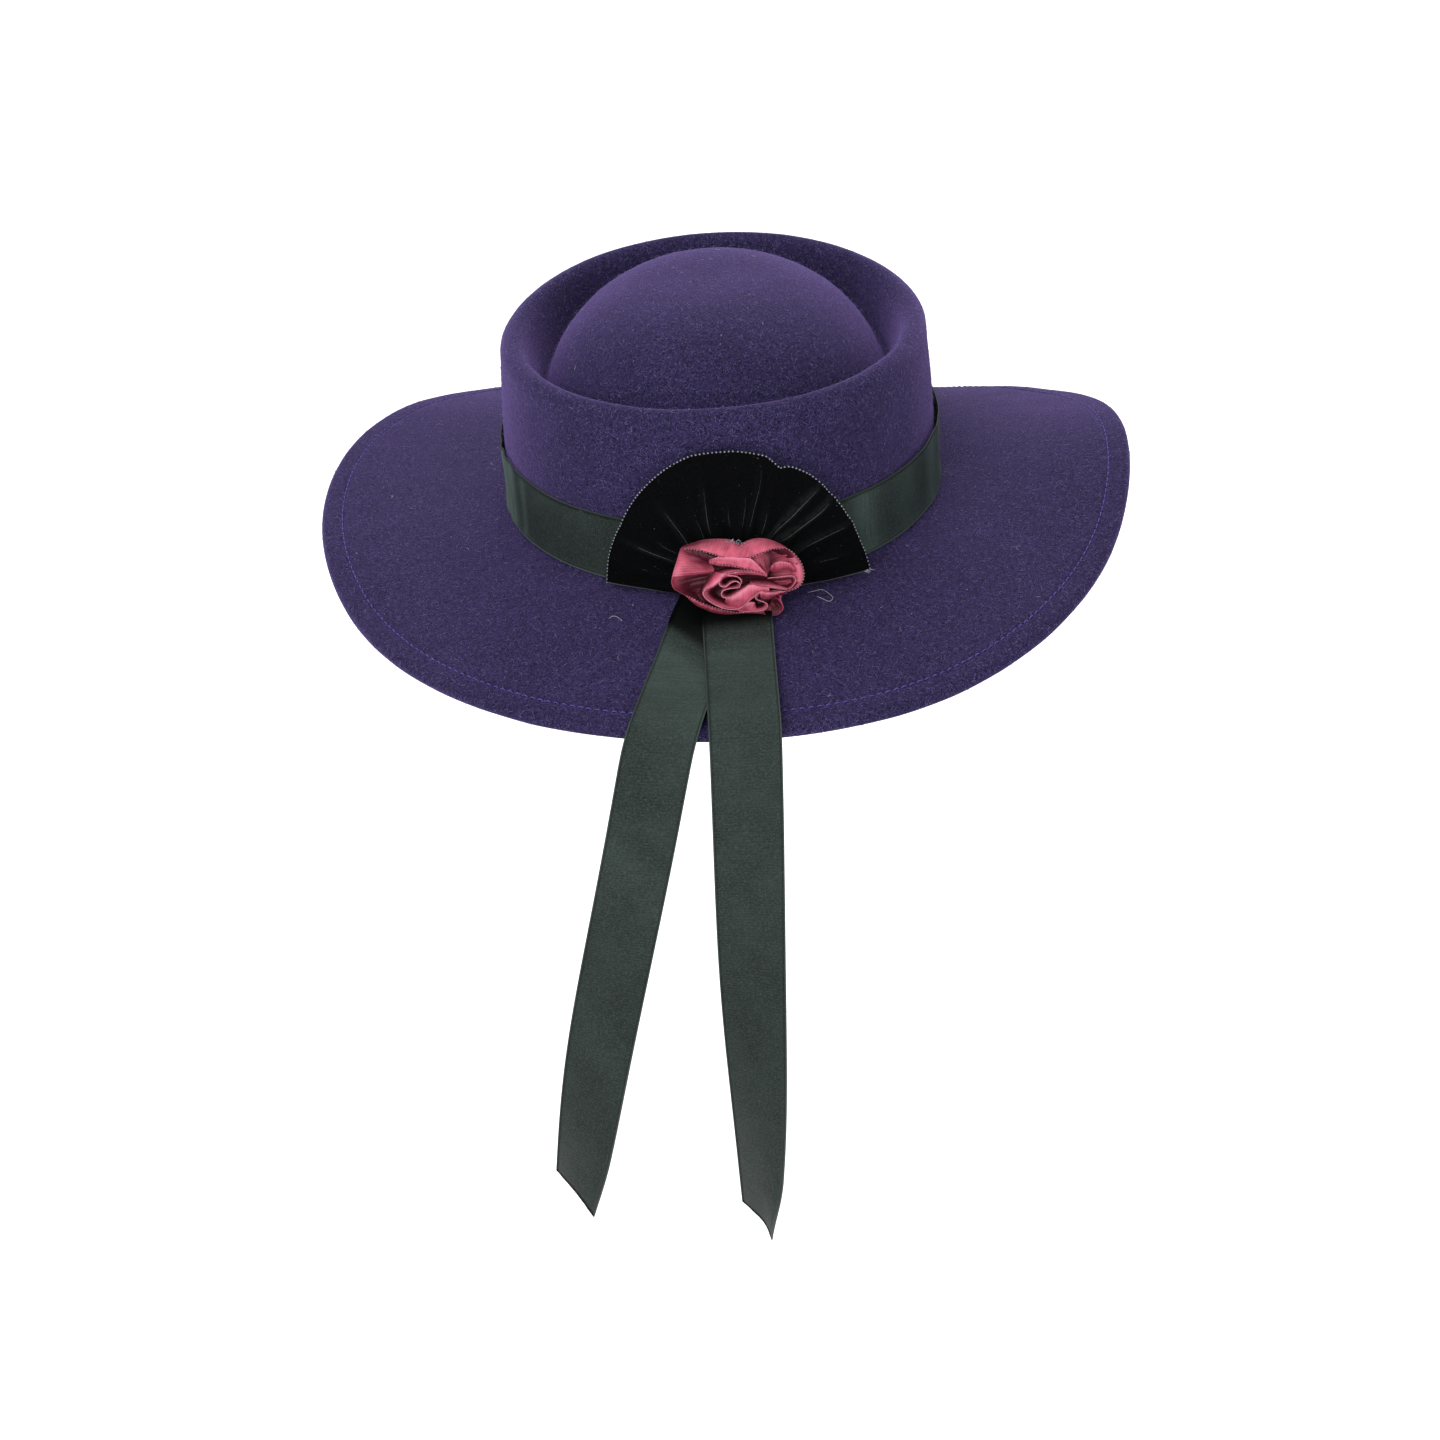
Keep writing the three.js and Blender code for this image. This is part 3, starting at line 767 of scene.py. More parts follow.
def cockadePlace(share, reach):
    angle = 180 * (1 - share)
    edge = straightTable(cockade["outline"], angle)
    radius = mix(cockade["innerRadius"], edge, reach)
    x, y = radius * math.cos(angle * degree), radius * math.sin(angle * degree)
    height = cockade["foot"] + y
    point, out = backOfCrown(cockade["middle"] + x, height)
    fade = math.sin(math.pi * min(1, reach * 0.75 + 0.15))
    pleat = (0.5 - 0.5 * math.cos(2 * math.pi * cockade["pleats"] * share)) * fade
    lap = ease(angle, cockade["lapFrom"], cockade["lapTo"]) * reach * cockade["lapHeight"]
    stand = cockade["standOff"] * max(0, x) * (1 - 0.5 * height / 55)
    aboveBand = ease(height, hat["bandTop"], hat["bandTop"] + 8)
    over = gap * 2.5 + 1 + footFlare(height) - aboveBand
    rise, creaseSheen = creaseAt(x, y)
    tuck = 1 - ease(radius, *cockade["gathersFade"])
    gathers = math.sin(cockade["gathers"] * math.pi * share + 0.7 * math.sin(share * 23)) * tuck
    rest = over + cockade["thickness"] / 2 + 0.1 + lap + pleat * cockade["pleatDepth"] * 0.6 + rise
    rest += (gathers + tuck) * cockade["gatherDepth"]
    rest += cockade["wander"] * noise.noise(Vector((x, y, 3)) / cockade["wanderWidth"])
    return point + out * rest + Vector((0, -stand, 0)), creaseSheen


def velvetCutPile():
    # cut velvet: a dense upright pile that swallows light, with a painted grey sheen where a
    # crease lays it over
    material = newMaterial("velvetCutPile")
    mark = addNode(material, "Attribute", attribute_name="clothPlaceAndPaintedLight").outputs["Vector"]
    split = addNode(material, "SeparateXYZ", {"Vector": mark})
    place = addNode(material, "TexCoord").outputs["Object"]
    pile = addNode(material, "TexNoise", {
        "Vector": place, "Scale": 1 / (0.5 * mm), "Detail": 2, "Roughness": 0.6}).outputs[0]
    dust = addNode(material, "TexNoise", {
        "Vector": place, "Scale": 1 / (0.45 * mm), "Detail": 1}).outputs[0]
    sheenBreakup = addNode(material, "TexNoise", {
        "Vector": place, "Scale": 1 / (2.2 * mm), "Detail": 3, "Roughness": 0.7}).outputs[0]
    tuft = addNode(material, "MapRange", {
        "Value": pile, "From Min": 0.3, "From Max": 0.7}).outputs[0]
    colour = addNode(material, "Mix", {
        0: tuft, 6: linearColour("040405"), 7: linearColour("0a0b0c"),
    }, data_type="RGBA").outputs[2]
    patchy = addNode(material, "MapRange", {
        "Value": sheenBreakup, "From Min": 0.3, "From Max": 0.52}).outputs[0]
    # painted sheen along the creases, broken up by noise
    ridgeSheen = addNode(material, "Math", {
        0: split.outputs["Z"], 1: patchy}, operation="MULTIPLY").outputs[0]
    withCreaseSheen = addNode(material, "Mix", {
        0: ridgeSheen, 6: colour, 7: linearColour("767c7a")}, data_type="RGBA").outputs[2]
    # the ribbon's bare woven edge, along the foot of the half disc
    half = cockade["flatLength"] / 2
    fromMiddle = addNode(material, "Math", {
        0: split.outputs["X"], 1: half}, operation="SUBTRACT").outputs[0]
    sideways = addNode(material, "Math", {0: fromMiddle}, operation="ABSOLUTE").outputs[0]
    woven = addNode(material, "MapRange", {
        "Value": sideways, "From Min": half - 0.45, "From Max": half - 0.2, "To Max": 0.8,
    }).outputs[0]
    edged = addNode(material, "Mix", {
        0: woven, 6: withCreaseSheen, 7: linearColour("4a4f4d")}, data_type="RGBA").outputs[2]
    lint = addNode(material, "MapRange", {
        "Value": dust, "From Min": 0.79, "From Max": 0.83, "To Max": 0.8}).outputs[0]
    flecked = addNode(material, "Mix", {
        0: lint, 6: edged, 7: linearColour("8c8c90")}, data_type="RGBA").outputs[2]
    normal = addNode(material, "Bump", {
        "Height": pile, "Distance": 0.3 * mm, "Strength": 0.6}).outputs[0]
    shader = addNode(material, "BsdfPrincipled", {
        "Base Color": flecked, "Normal": normal, "Roughness": 1.0, "IOR": 1.53,
        "Specular IOR Level": 0.03,
        "Sheen Weight": 0.04, "Sheen Roughness": 0.3, "Sheen Tint": linearColour("b8bcc0")})
    addNode(material, "OutputMaterial", {"Surface": shader.outputs[0]})
    return material


def cockadeMark(share, reach):
    creaseSheen = cockadePlace(share, reach)[1]
    return (share * cockade["flatLength"], reach * cockade["flatWidth"], creaseSheen)


velvetCockade = makeCloth(
    "velvetCockade", lambda share, reach: cockadePlace(share, reach)[0], cockade["along"],
    cockade["across"], cockade["thickness"], velvetCutPile(), "velvet_ribbon", "velvet_cockade",
    cockadeMark)
print("cockade made")


def makeSharpCreases():
    # painted highlight: thin pale tubes along the sharp creases stand for the glint of the pile
    # laid over there
    parts = []
    for outerAngle, outer, innerAngle, inner, height, light in cockade["creases"]:
        if light < cockade["sharpAbove"]:
            continue
        start, end = onDisc(outerAngle, outer), onDisc(innerAngle, inner)
        run = end - start
        sideways = Vector((run.y, -run.x)).normalized()
        line = []
        for step in range(31):
            share = mix(-0.05, 1.1, step / 30)
            spot = start + run * share
            spot += sideways * cockade["creaseBow"] * math.sin(share * 4 + outerAngle)
            angle = math.atan2(spot.y, spot.x) / degree
            edge = straightTable(cockade["outline"], angle)
            reach = (spot.length - cockade["innerRadius"]) / (edge - cockade["innerRadius"])
            point = cockadePlace(1 - angle / 180, clamp(reach, 0, 0.97))[0]
            line.append(point + Vector((0, -cockade["thickness"] / 2 - 0.03, 0)))
        size = cockade["sharpRadius"] * math.sqrt(light)
        parts.append(lambda start, line=line, size=size: roundThread(
            line, size, 4, start, taper=0.9))
    return gather(parts)


creaseGlintThread = threadSpun("velvetCreaseGlint", "4a4f4f")
makePiece("cockadeCreaseGlints", *makeSharpCreases(), creaseGlintThread, "velvet_ribbon")


# picot edge of the velvet: small thread loops along its outer edge
def makeCockadeEdge():
    steps, pitch = cockade["edgeSteps"], cockade["loopPitch"]
    hub = cockadePlace(0.5, 0)[0]
    line = [cockadePlace(step / steps, 1)[0] for step in range(steps + 1)]
    lengths = [0.0]
    for before, after in zip(line, line[1:]):
        lengths.append(lengths[-1] + (after - before).length)
    parts = []
    at = 0
    for number in range(int(lengths[-1] / pitch) + 1):
        while at < steps - 1 and lengths[at + 1] < number * pitch:
            at += 1
        outward = (line[at] - hub).normalized()
        centre = line[at] + Vector((0, -0.3, 0)) + cockade["loopOut"] * outward
        parts.append(lambda start, centre=centre: roundBead(centre, cockade["loop"], start))
    return gather(parts)


greyThread = threadSpun("greyPolyesterThread", "a2a5a9")
makePiece("cockadePicots", *makeCockadeEdge(), greyThread, "velvet_ribbon")
print("picot edge made")

# rosette: one rose ribbon, folded and gathered into petals around a rolled middle. Each
# petal runs from its foot to its edge, in millimetres right, up and out of the rosette's face.
rosette = {
    "place": (1.97, -111.75, 10.05),
    "right": (0.99732, -0.02503, -0.0688),
    "out": (0.0, -0.93974, 0.3419),
    "thickness": 0.4, "steps": 64, "across": 9, "ripple": 0.34,
    "flatLength": 0.25, "flatWidth": 0.0159, "gatherPitch": 3.4, "gatherDepth": 0.7,
    # painted shade darkens the petals below this height, over this depth, and a painted highlight
    # lightens their free edges
    "darkBelow": 9.1, "darkOver": 4.2, "paintedLightLevel": 0.7,
    "baseWidth": 20.5, "baseHeight": 11.5, "baseFront": 3.6, "baseDrop": 1.6,
    "basePuckers": 15, "basePuckerDepth": 0.5, "baseSteps": 120, "baseAcross": 8,
    # woven edge: real loops are about 0.6 mm apart, and are drawn wider apart so that they show
    "trimSteps": 160, "cord": 0.13, "ground": 0.2,
    "loop": 0.27, "loopPitch": 1.15, "loopStart": 0.3, "loopBeyond": 0.22, "loopUp": 0.2,
    # for the weave: width of the ribbon, length round the disc, and a shift for each petal
    "weaveWidth": 20, "weaveRound": 110, "weaveShift": 37,
}
petals = [
    {"name": "topCollar", "bulge": 0.8, "shade": 0.7, "picot": "foot",
     "edge": [(-19.8, 11, 4.5), (-16, 12.2, 5), (-12.2, 13.3, 5.5), (-6.4, 13.7, 6),
              (-2.2, 13.3, 6.2), (0.7, 12, 6.4), (3.2, 13, 6.3), (6.1, 13.8, 6), (9.4, 13.8, 6),
              (13.2, 12.7, 6), (17.1, 10.7, 6)],
     "foot": [(-19.5, 10.3, 6.5), (-16.8, 10.3, 7.5), (-13.5, 9.8, 8.3), (-8.9, 8.6, 9),
              (-5.6, 7.5, 9.5), (-2.7, 7.2, 9.8), (-0.2, 7.2, 9.8), (4, 7.5, 9.5), (8.2, 9, 9),
              (12.3, 10.4, 8), (17, 10.5, 6.6)]},
    {"name": "topBack", "bulge": 1.2,
     "edge": [(-19.8, 11, 4.5), (-16, 12.2, 5), (-12.2, 13.2, 5.5), (-6.4, 13.7, 6),
              (-2.2, 13.2, 6.2), (0.7, 12, 6.4), (3.2, 13, 6.3), (6.1, 13.8, 6), (9.4, 13.8, 6),
              (13.2, 12.7, 6), (17.1, 10.7, 6)],
     "foot": [(-17.2, 7.5, 1), (-13.9, 8.3, 1), (-11, 8.9, 1), (-6.4, 9.1, 1), (-2.7, 9, 1),
              (0.2, 8.8, 1), (2.8, 9, 1), (5.7, 9.3, 1), (8.6, 9.2, 1), (11.5, 8.3, 1),
              (14, 7, 1)]},
    {"name": "leftFlap", "bulge": 1.2, "shade": 0.5,
     "edge": [(-19.8, 10.9, 4.6), (-20.8, 10.2, 5.2), (-21.6, 7.9, 6.2), (-22.3, 5.6, 7),
              (-23.2, 2.7, 7.6), (-23.8, 0.2, 7.8)],
     "foot": [(-13.9, 9, 3.6), (-11.8, 7.5, 3.2), (-10.6, 5.8, 3.6), (-9.8, 4.3, 5),
              (-8.9, 3.1, 6.4), (-8.8, 2, 7)]},
    {"name": "leftPit", "bulge": -2.4,
     "edge": [(-23.8, 0.2, 7.7), (-24, -2.1, 7.6), (-23.1, -4.2, 7.3), (-21, -5.5, 7),
              (-18.9, -6.7, 6.8), (-16, -8.8, 6.6), (-13.1, -10, 6.6)],
     "foot": [(-8.8, 1.9, 6.9), (-10.6, 0.4, 5), (-11.8, -1.3, 3.4), (-12.9, -2.8, 2.6),
              (-13.1, -4.6, 3), (-12.8, -6.3, 4.6), (-10.6, -8.8, 6.6)]},
    {"name": "leftBack", "bulge": 0.8,
     "edge": [(-19.8, 10.9, 4.5), (-20.8, 10.1, 5.1), (-21.6, 7.8, 6.1), (-22.3, 5.5, 6.9),
              (-23.2, 2.6, 7.5), (-23.8, 0.1, 7.7), (-24, -2.2, 7.5), (-23, -4.2, 7.2),
              (-18.9, -6.8, 6.7), (-16, -8.8, 6.5)],
     "foot": [(-17.2, 7.5, 1), (-18.1, 6.2, 1), (-18.9, 5, 1), (-19.3, 3.3, 1), (-19.8, 1.6, 1),
              (-19.8, -0, 1), (-19.5, -2.1, 1), (-18.5, -3.8, 1), (-15.6, -5.9, 1),
              (-13.1, -7.1, 1)]},
    {"name": "bottomBand", "bulge": 0.8, "shade": 0.6, "picot": "foot",
     "edge": [(-18.9, -6.7, 6.4), (-16.8, -9, 5.6), (-14.3, -10.8, 5.2), (-11.8, -11.9, 5.1),
              (-8.9, -13, 5.2), (-3.9, -13.6, 5.4), (1.9, -13.2, 5.6), (6.1, -13.2, 5.4),
              (10.2, -14, 5)],
     "foot": [(-19, -6.6, 7), (-16, -8, 8.4), (-13.1, -9.3, 9), (-10.6, -10.1, 9.4),
              (-8.1, -11, 9.7), (-3.9, -12, 9.9), (0.2, -12.5, 9.9), (4.4, -12.2, 9.7),
              (8.6, -11.9, 9)]},
    {"name": "bottomBack", "bulge": 0.8, "shade": 0.7,
     "edge": [(-16.8, -9, 5.6), (-14.3, -10.8, 5.2), (-11.8, -11.9, 5.1), (-8.9, -12.9, 5.2),
              (-3.9, -13.6, 5.4), (1.9, -13.2, 5.6), (6.1, -13.2, 5.4), (10.2, -14, 5),
              (13.6, -14, 5), (15.7, -12.6, 5.5), (16.1, -10.9, 6), (15.3, -8.4, 6.4),
              (15.5, -6.7, 6.8)],
     "foot": [(-13.1, -7.1, 1), (-11.4, -8.4, 1), (-9.8, -9.2, 1), (-7.2, -9.8, 1),
              (-3.5, -10.2, 1), (1.1, -10.1, 1), (4.4, -10, 1), (7.8, -9.7, 1), (10.2, -9.2, 1),
              (11.5, -8.4, 1), (11.9, -7.1, 1), (11.9, -5.9, 1), (12.3, -4.6, 1)]},
    {"name": "lowerRightCup", "bulge": -1.0, "shade": 0.45,
     "edge": [(7.8, -13.2, 5.4), (10.2, -14, 5.2), (13.6, -14.1, 5.2), (15.7, -12.6, 5.7),
              (16.2, -10.9, 6.2), (15.3, -8.4, 6.6), (15.5, -6.7, 7)],
     "foot": [(8, -11.8, 7.5), (9.6, -11.4, 6), (11.3, -10.5, 4.5), (11.9, -9.2, 3.6),
              (11.9, -8, 3.4), (11.5, -6.7, 4), (11.9, -5.5, 5)]},
    {"name": "rightPetal", "bulge": -2.2, "shade": 0.35, "picot": "edge",
     "edge": [(17, 10.5, 6.4), (19.1, 9.3, 7.4), (20.7, 7.8, 8), (22.1, 5.9, 8.5), (23, 4.1, 8.8),
              (23.5, 1.6, 9), (23.2, -0.9, 9), (21.5, -3.4, 8.6), (18, -5, 8)],
     "foot": [(10.2, 10, 4.6), (9.9, 7.9, 3.6), (9.8, 5.8, 3.4), (10.7, 4.1, 4.6),
              (11.9, 2.9, 4.8), (11.9, 0.8, 4), (11.5, -1.3, 3.4), (11.9, -3.2, 4),
              (14, -5, 5.6)]},
    {"name": "rightBack", "bulge": 0.8,
     "edge": [(17, 10.5, 6.3), (19.1, 9.2, 7.3), (20.7, 7.8, 7.9), (22.1, 5.8, 8.4),
              (23, 4.1, 8.7), (23.5, 1.6, 8.9), (23.1, -0.9, 8.9), (21.5, -3.4, 8.5),
              (18, -5, 7.9), (15.5, -6.7, 6.9)],
     "foot": [(14, 7, 1), (15.7, 5.8, 1), (16.9, 4.5, 1), (17.8, 3.3, 1), (18.2, 2, 1),
              (18.4, 0.8, 1), (18, -0.9, 1), (16.7, -2.5, 1), (14.8, -3.8, 1), (12.3, -4.6, 1)]},
    {"name": "rightArch", "bulge": 1.0, "shade": 0.4,
     "edge": [(11.8, 3.8, 6.6), (13, 4.9, 7.2), (14.6, 5.6, 7.6), (16.9, 5.6, 7.6), (18.6, 5, 7.3),
              (19.6, 4.2, 6.9)],
     "foot": [(11.1, 2, 4.6), (12.8, 2, 5.6), (14.8, 2.2, 6), (16.9, 2.4, 6), (19, 2.2, 6),
              (21.1, 2, 6.6)]},
    {"name": "rightLoop", "bulge": 0.4, "cord": "edge",
     "edge": [(10.5, -0.3, 7.6), (13.6, -0, 8), (16.9, 0.4, 8.4), (19.6, 0.5, 8.5),
              (20.7, -0.9, 8.3), (19.9, -2.8, 8), (18, -4.2, 7.8), (14.4, -4.6, 7.6),
              (11.1, -5.1, 7.6)],
     "foot": [(10.5, -1.7, 3.4), (13.6, -1.7, 3), (16.1, -1.5, 3), (18, -1.4, 3), (18.6, -1.7, 3),
              (18.2, -2.3, 3), (16.7, -3, 3), (14, -3.6, 3.2), (11.1, -4.2, 4)]},
    {"name": "leftFill", "bulge": 0.9,
     "edge": [(-16.6, 10, 6), (-13.9, 9.3, 6.2), (-11.4, 8.5, 6.2), (-8.9, 7.5, 6.4),
              (-6.4, 6.6, 6.6)],
     "foot": [(-16, 6, 3.6), (-13.9, 5.4, 3.6), (-11.8, 5.3, 4), (-9.8, 5.1, 4.4),
              (-6.4, 3.9, 4.4)]},
    {"name": "rightFill", "bulge": 1.4,
     "edge": [(3.6, 7.5, 7.4), (6.1, 7.6, 7.6), (8.2, 8.5, 7.4), (10, 9.5, 6.8), (11.9, 10, 6)],
     "foot": [(6.9, 3.3, 7.6), (8.6, 2.2, 7.8), (10.2, 1.2, 7.6), (11.1, 2.5, 6.6),
              (11.8, 3.9, 6.2)]},
    {"name": "rightGather", "bulge": 0.9,
     "edge": [(6.9, 7.9, 6.4), (8, 6.2, 7), (9.4, 5.4, 7.2), (10.7, 4.5, 7)],
     "foot": [(10.2, 9.5, 4.6), (10.7, 7.9, 4.4), (11.3, 6.2, 4.6), (11.8, 4.1, 5)]},
    {"name": "leafTop", "bulge": 0.7, "picot": "foot",
     "edge": [(-10.6, 6.2, 8), (-7.2, 7.4, 9), (-3.9, 7.5, 9.6), (-0.2, 7.2, 9.9), (4, 7, 10.1),
              (6.1, 5.4, 10.5), (8.2, 3.3, 11), (10.1, 1.3, 11.2)],
     "foot": [(-10.5, 5.6, 9.6), (-7.2, 5.3, 10.6), (-3.9, 5, 11.1), (-0.6, 4.4, 11.4),
              (2.3, 3.7, 11.7), (5, 3, 11.9), (7.8, 2.2, 11.7), (10.2, 1.1, 11.3)]},
    {"name": "leafUnder", "bulge": 0.3,
     "edge": [(-10.5, 5.6, 9.5), (-7.2, 5.2, 10.5), (-3.9, 5, 11), (-0.6, 4.4, 11.3),
              (2.3, 3.7, 11.6), (5, 3, 11.8), (7.8, 2.1, 11.6), (10.2, 1.1, 11.2)],
     "foot": [(-8.9, 4.1, 5), (-6.4, 3.5, 4.4), (-3.5, 3.2, 4), (-0.6, 3, 4), (2.3, 2.5, 4),
              (5.2, 2, 4), (7.8, 1.4, 4.4), (10.2, 0.2, 5)]},
    {"name": "secondLeaf", "bulge": 0.4, "picot": "edge",
     "edge": [(-6.4, 0, 11.4), (-5, 1.4, 12), (-2.7, 2.3, 12.4), (-0.2, 2.8, 12.6),
              (2.8, 2.9, 12.7), (5.7, 2.6, 12.6), (8.2, 2, 12.2), (10.2, 1, 11.4)],
     "foot": [(-6.8, -1.5, 9.6), (-5, 0.2, 10), (-2.7, 0.9, 10.2), (-0.2, 1.2, 10.2),
              (2.8, 1.5, 10), (5.7, 1.4, 10), (8.2, 1.1, 10.2), (10.2, 0.7, 10.4)]},
    {"name": "secondUnder", "bulge": 0.3,
     "edge": [(-5, 1.5, 11.9), (-2.7, 2.3, 12.3), (-0.2, 2.8, 12.5), (2.8, 2.9, 12.6),
              (5.7, 2.6, 12.5), (8.2, 2, 12.1), (10.2, 1, 11.3)],
     "foot": [(-8.1, 2, 5), (-4.8, 2.9, 4.4), (-1.4, 3.1, 4), (1.9, 2.8, 4), (5.2, 2.2, 4),
              (8.2, 1.6, 4.4), (10.2, 0.4, 5)]},
    {"name": "ringOuter", "bulge": 0.8,
     "edge": [(-4.8, 1.6, 11.9), (-6.8, -0.9, 11.7), (-9.3, -2.8, 11.4), (-11.6, -3.8, 11),
              (-12.7, -5.5, 10.8), (-11.6, -7.3, 10.7), (-8.9, -9.2, 10.7), (-5.6, -10.8, 10.8)],
     "foot": [(-8.3, 2, 6.8), (-10.1, 0.4, 6), (-11.4, -1.5, 5.6), (-12.4, -3.4, 5.4),
              (-13.1, -5.5, 5), (-12.2, -7.8, 5), (-9.3, -9.8, 6), (-5.6, -11.4, 7)]},
    {"name": "ringInner", "bulge": -0.5, "cord": "edge",
     "edge": [(-6.8, -0.9, 11.6), (-9.3, -2.8, 11.3), (-11.6, -3.8, 10.9), (-12.6, -5.5, 10.7),
              (-11.6, -7.3, 10.6), (-8.9, -9.2, 10.6), (-5.6, -10.8, 10.7), (-2.2, -11.3, 10.8),
              (1.1, -10.5, 10.9), (4.4, -7.6, 11), (7.8, -4.6, 10.8)],
     "foot": [(-4.8, -1.7, 5), (-6.8, -3.4, 4.4), (-8.5, -4.6, 4), (-8.9, -5.7, 3.8),
              (-8.1, -6.7, 3.6), (-6.4, -7.8, 3.6), (-4.3, -8.4, 3.6), (-2.2, -8.6, 3.8),
              (-0.2, -7.8, 4), (1.9, -5.9, 4.4), (4.4, -3.8, 5)]},
    {"name": "centreCurl", "bulge": 0.0, "cord": "edge",
     "edge": [(-4.7, 2, 12.4), (-6.2, 0.4, 12.6), (-7, -1.4, 12.8), (-6.3, -2.6, 12.9),
              (-4.7, -2.8, 13), (-3.1, -1.6, 13.1), (-1.8, -0.9, 13.1), (-0.3, -1, 13.1),
              (0.6, -1.9, 13.1), (0.1, -3, 13), (-1.8, -3.3, 12.9), (-3.9, -3.6, 12.9),
              (-5.5, -4.2, 12.9), (-6.2, -5.2, 12.9), (-5.8, -6.4, 12.9), (-4.4, -6.8, 12.8),
              (-2.7, -6.4, 12.7), (0.2, -4.6, 12.5), (4, -2.2, 12)],
     "foot": [(-3.9, 0.8, 5), (-5, -0.2, 5), (-5.8, -1.4, 5), (-5.5, -2.1, 5), (-4.5, -2.3, 5),
              (-3.3, -1.4, 5), (-2, -1.1, 5), (-1, -1.3, 5), (-0.6, -1.8, 5), (-0.9, -2.3, 5),
              (-2.2, -2.8, 5), (-3.9, -3, 5), (-5, -3.6, 5), (-5.4, -4.6, 5), (-5, -5.5, 5),
              (-4.1, -6.1, 5), (-2.7, -5.7, 5), (0.2, -4, 5.5), (4.4, -2.1, 6)]},
    {"name": "diagonalBand", "bulge": 0.9,
     "edge": [(-4.7, -6.9, 12.3), (-2.7, -6.4, 12.5), (-1, -5.5, 12.4), (1.1, -4.1, 12.2),
              (4, -2.2, 11.8), (7.8, -3.2, 10.9), (11.1, -3.6, 10)],
     "foot": [(-4.8, -8.8, 7), (-2.7, -10.1, 8.8), (-0.6, -10.7, 9.8), (1.3, -10.4, 10.4),
              (4.2, -7.7, 10.7), (7.8, -4.7, 10.6), (11.1, -5, 9.8)]},
    {"name": "centreHood", "bulge": 0.3, "cord": "edge",
     "edge": [(-3.9, 1.1, 12.2), (-2.2, 1.1, 12.4), (-0.4, 0.7, 12.5), (0.8, -0.4, 12.5),
              (0.9, -1.7, 12.4)],
     "foot": [(-2.2, -0, 6), (-1, -0, 6), (0.2, -0.2, 6), (1.3, -0.9, 6), (1.5, -1.7, 6)]},
    {"name": "rightStrip", "bulge": 0.4,
     "edge": [(4, -2.3, 11.6), (7.8, -3, 10.8), (11.5, -3.4, 9.8), (14.8, -3.8, 9),
              (18, -4.2, 8.2)],
     "foot": [(4.4, -0.9, 5), (7.8, -0.9, 5), (10.7, -0.9, 5), (12.3, -1.7, 5), (13.6, -2.5, 5)]},
    {"name": "rightFold", "bulge": 0.7,
     "edge": [(7.8, -4.6, 10.8), (11.1, -5.1, 10), (14.4, -5.1, 9.2), (17.8, -4.7, 8.4)],
     "foot": [(8, -7.1, 8.6), (10.7, -7.9, 7), (13.6, -6.7, 6.6), (16.1, -5.5, 7)]},
    {"name": "lowerCurl", "bulge": 0.2, "cord": "edge",
     "edge": [(7.8, -5, 10.7), (6.6, -6, 10.7), (6, -6.9, 10.7), (6.9, -7.9, 10.6),
              (8.8, -8.5, 10.4), (10.2, -9.3, 10.2), (10.4, -10.5, 10.1), (9.3, -11.5, 10),
              (7.3, -11.9, 9.9), (4, -12.1, 9.9), (0.2, -12.5, 9.9)],
     "foot": [(8.2, -6.7, 5), (7.8, -7.3, 5), (7.5, -7.8, 4.6), (7.8, -8.4, 4.4), (8.6, -9, 4.2),
              (9, -9.6, 4.2), (8.6, -10.1, 4.2), (7.3, -10.5, 4.2), (5.7, -10.5, 4.4),
              (3.2, -10.7, 5), (0.2, -11.1, 6)]},
    {"name": "lowerShelf", "bulge": 0.3,
     "edge": [(1.3, -10.5, 10.3), (3.2, -8.8, 10.5), (5.5, -8.8, 9), (6.1, -10, 7)],
     "foot": [(-2.2, -11.4, 10.3), (1.1, -12.1, 9.7), (4, -12, 9.6), (6.9, -11.8, 9.4)]},
]


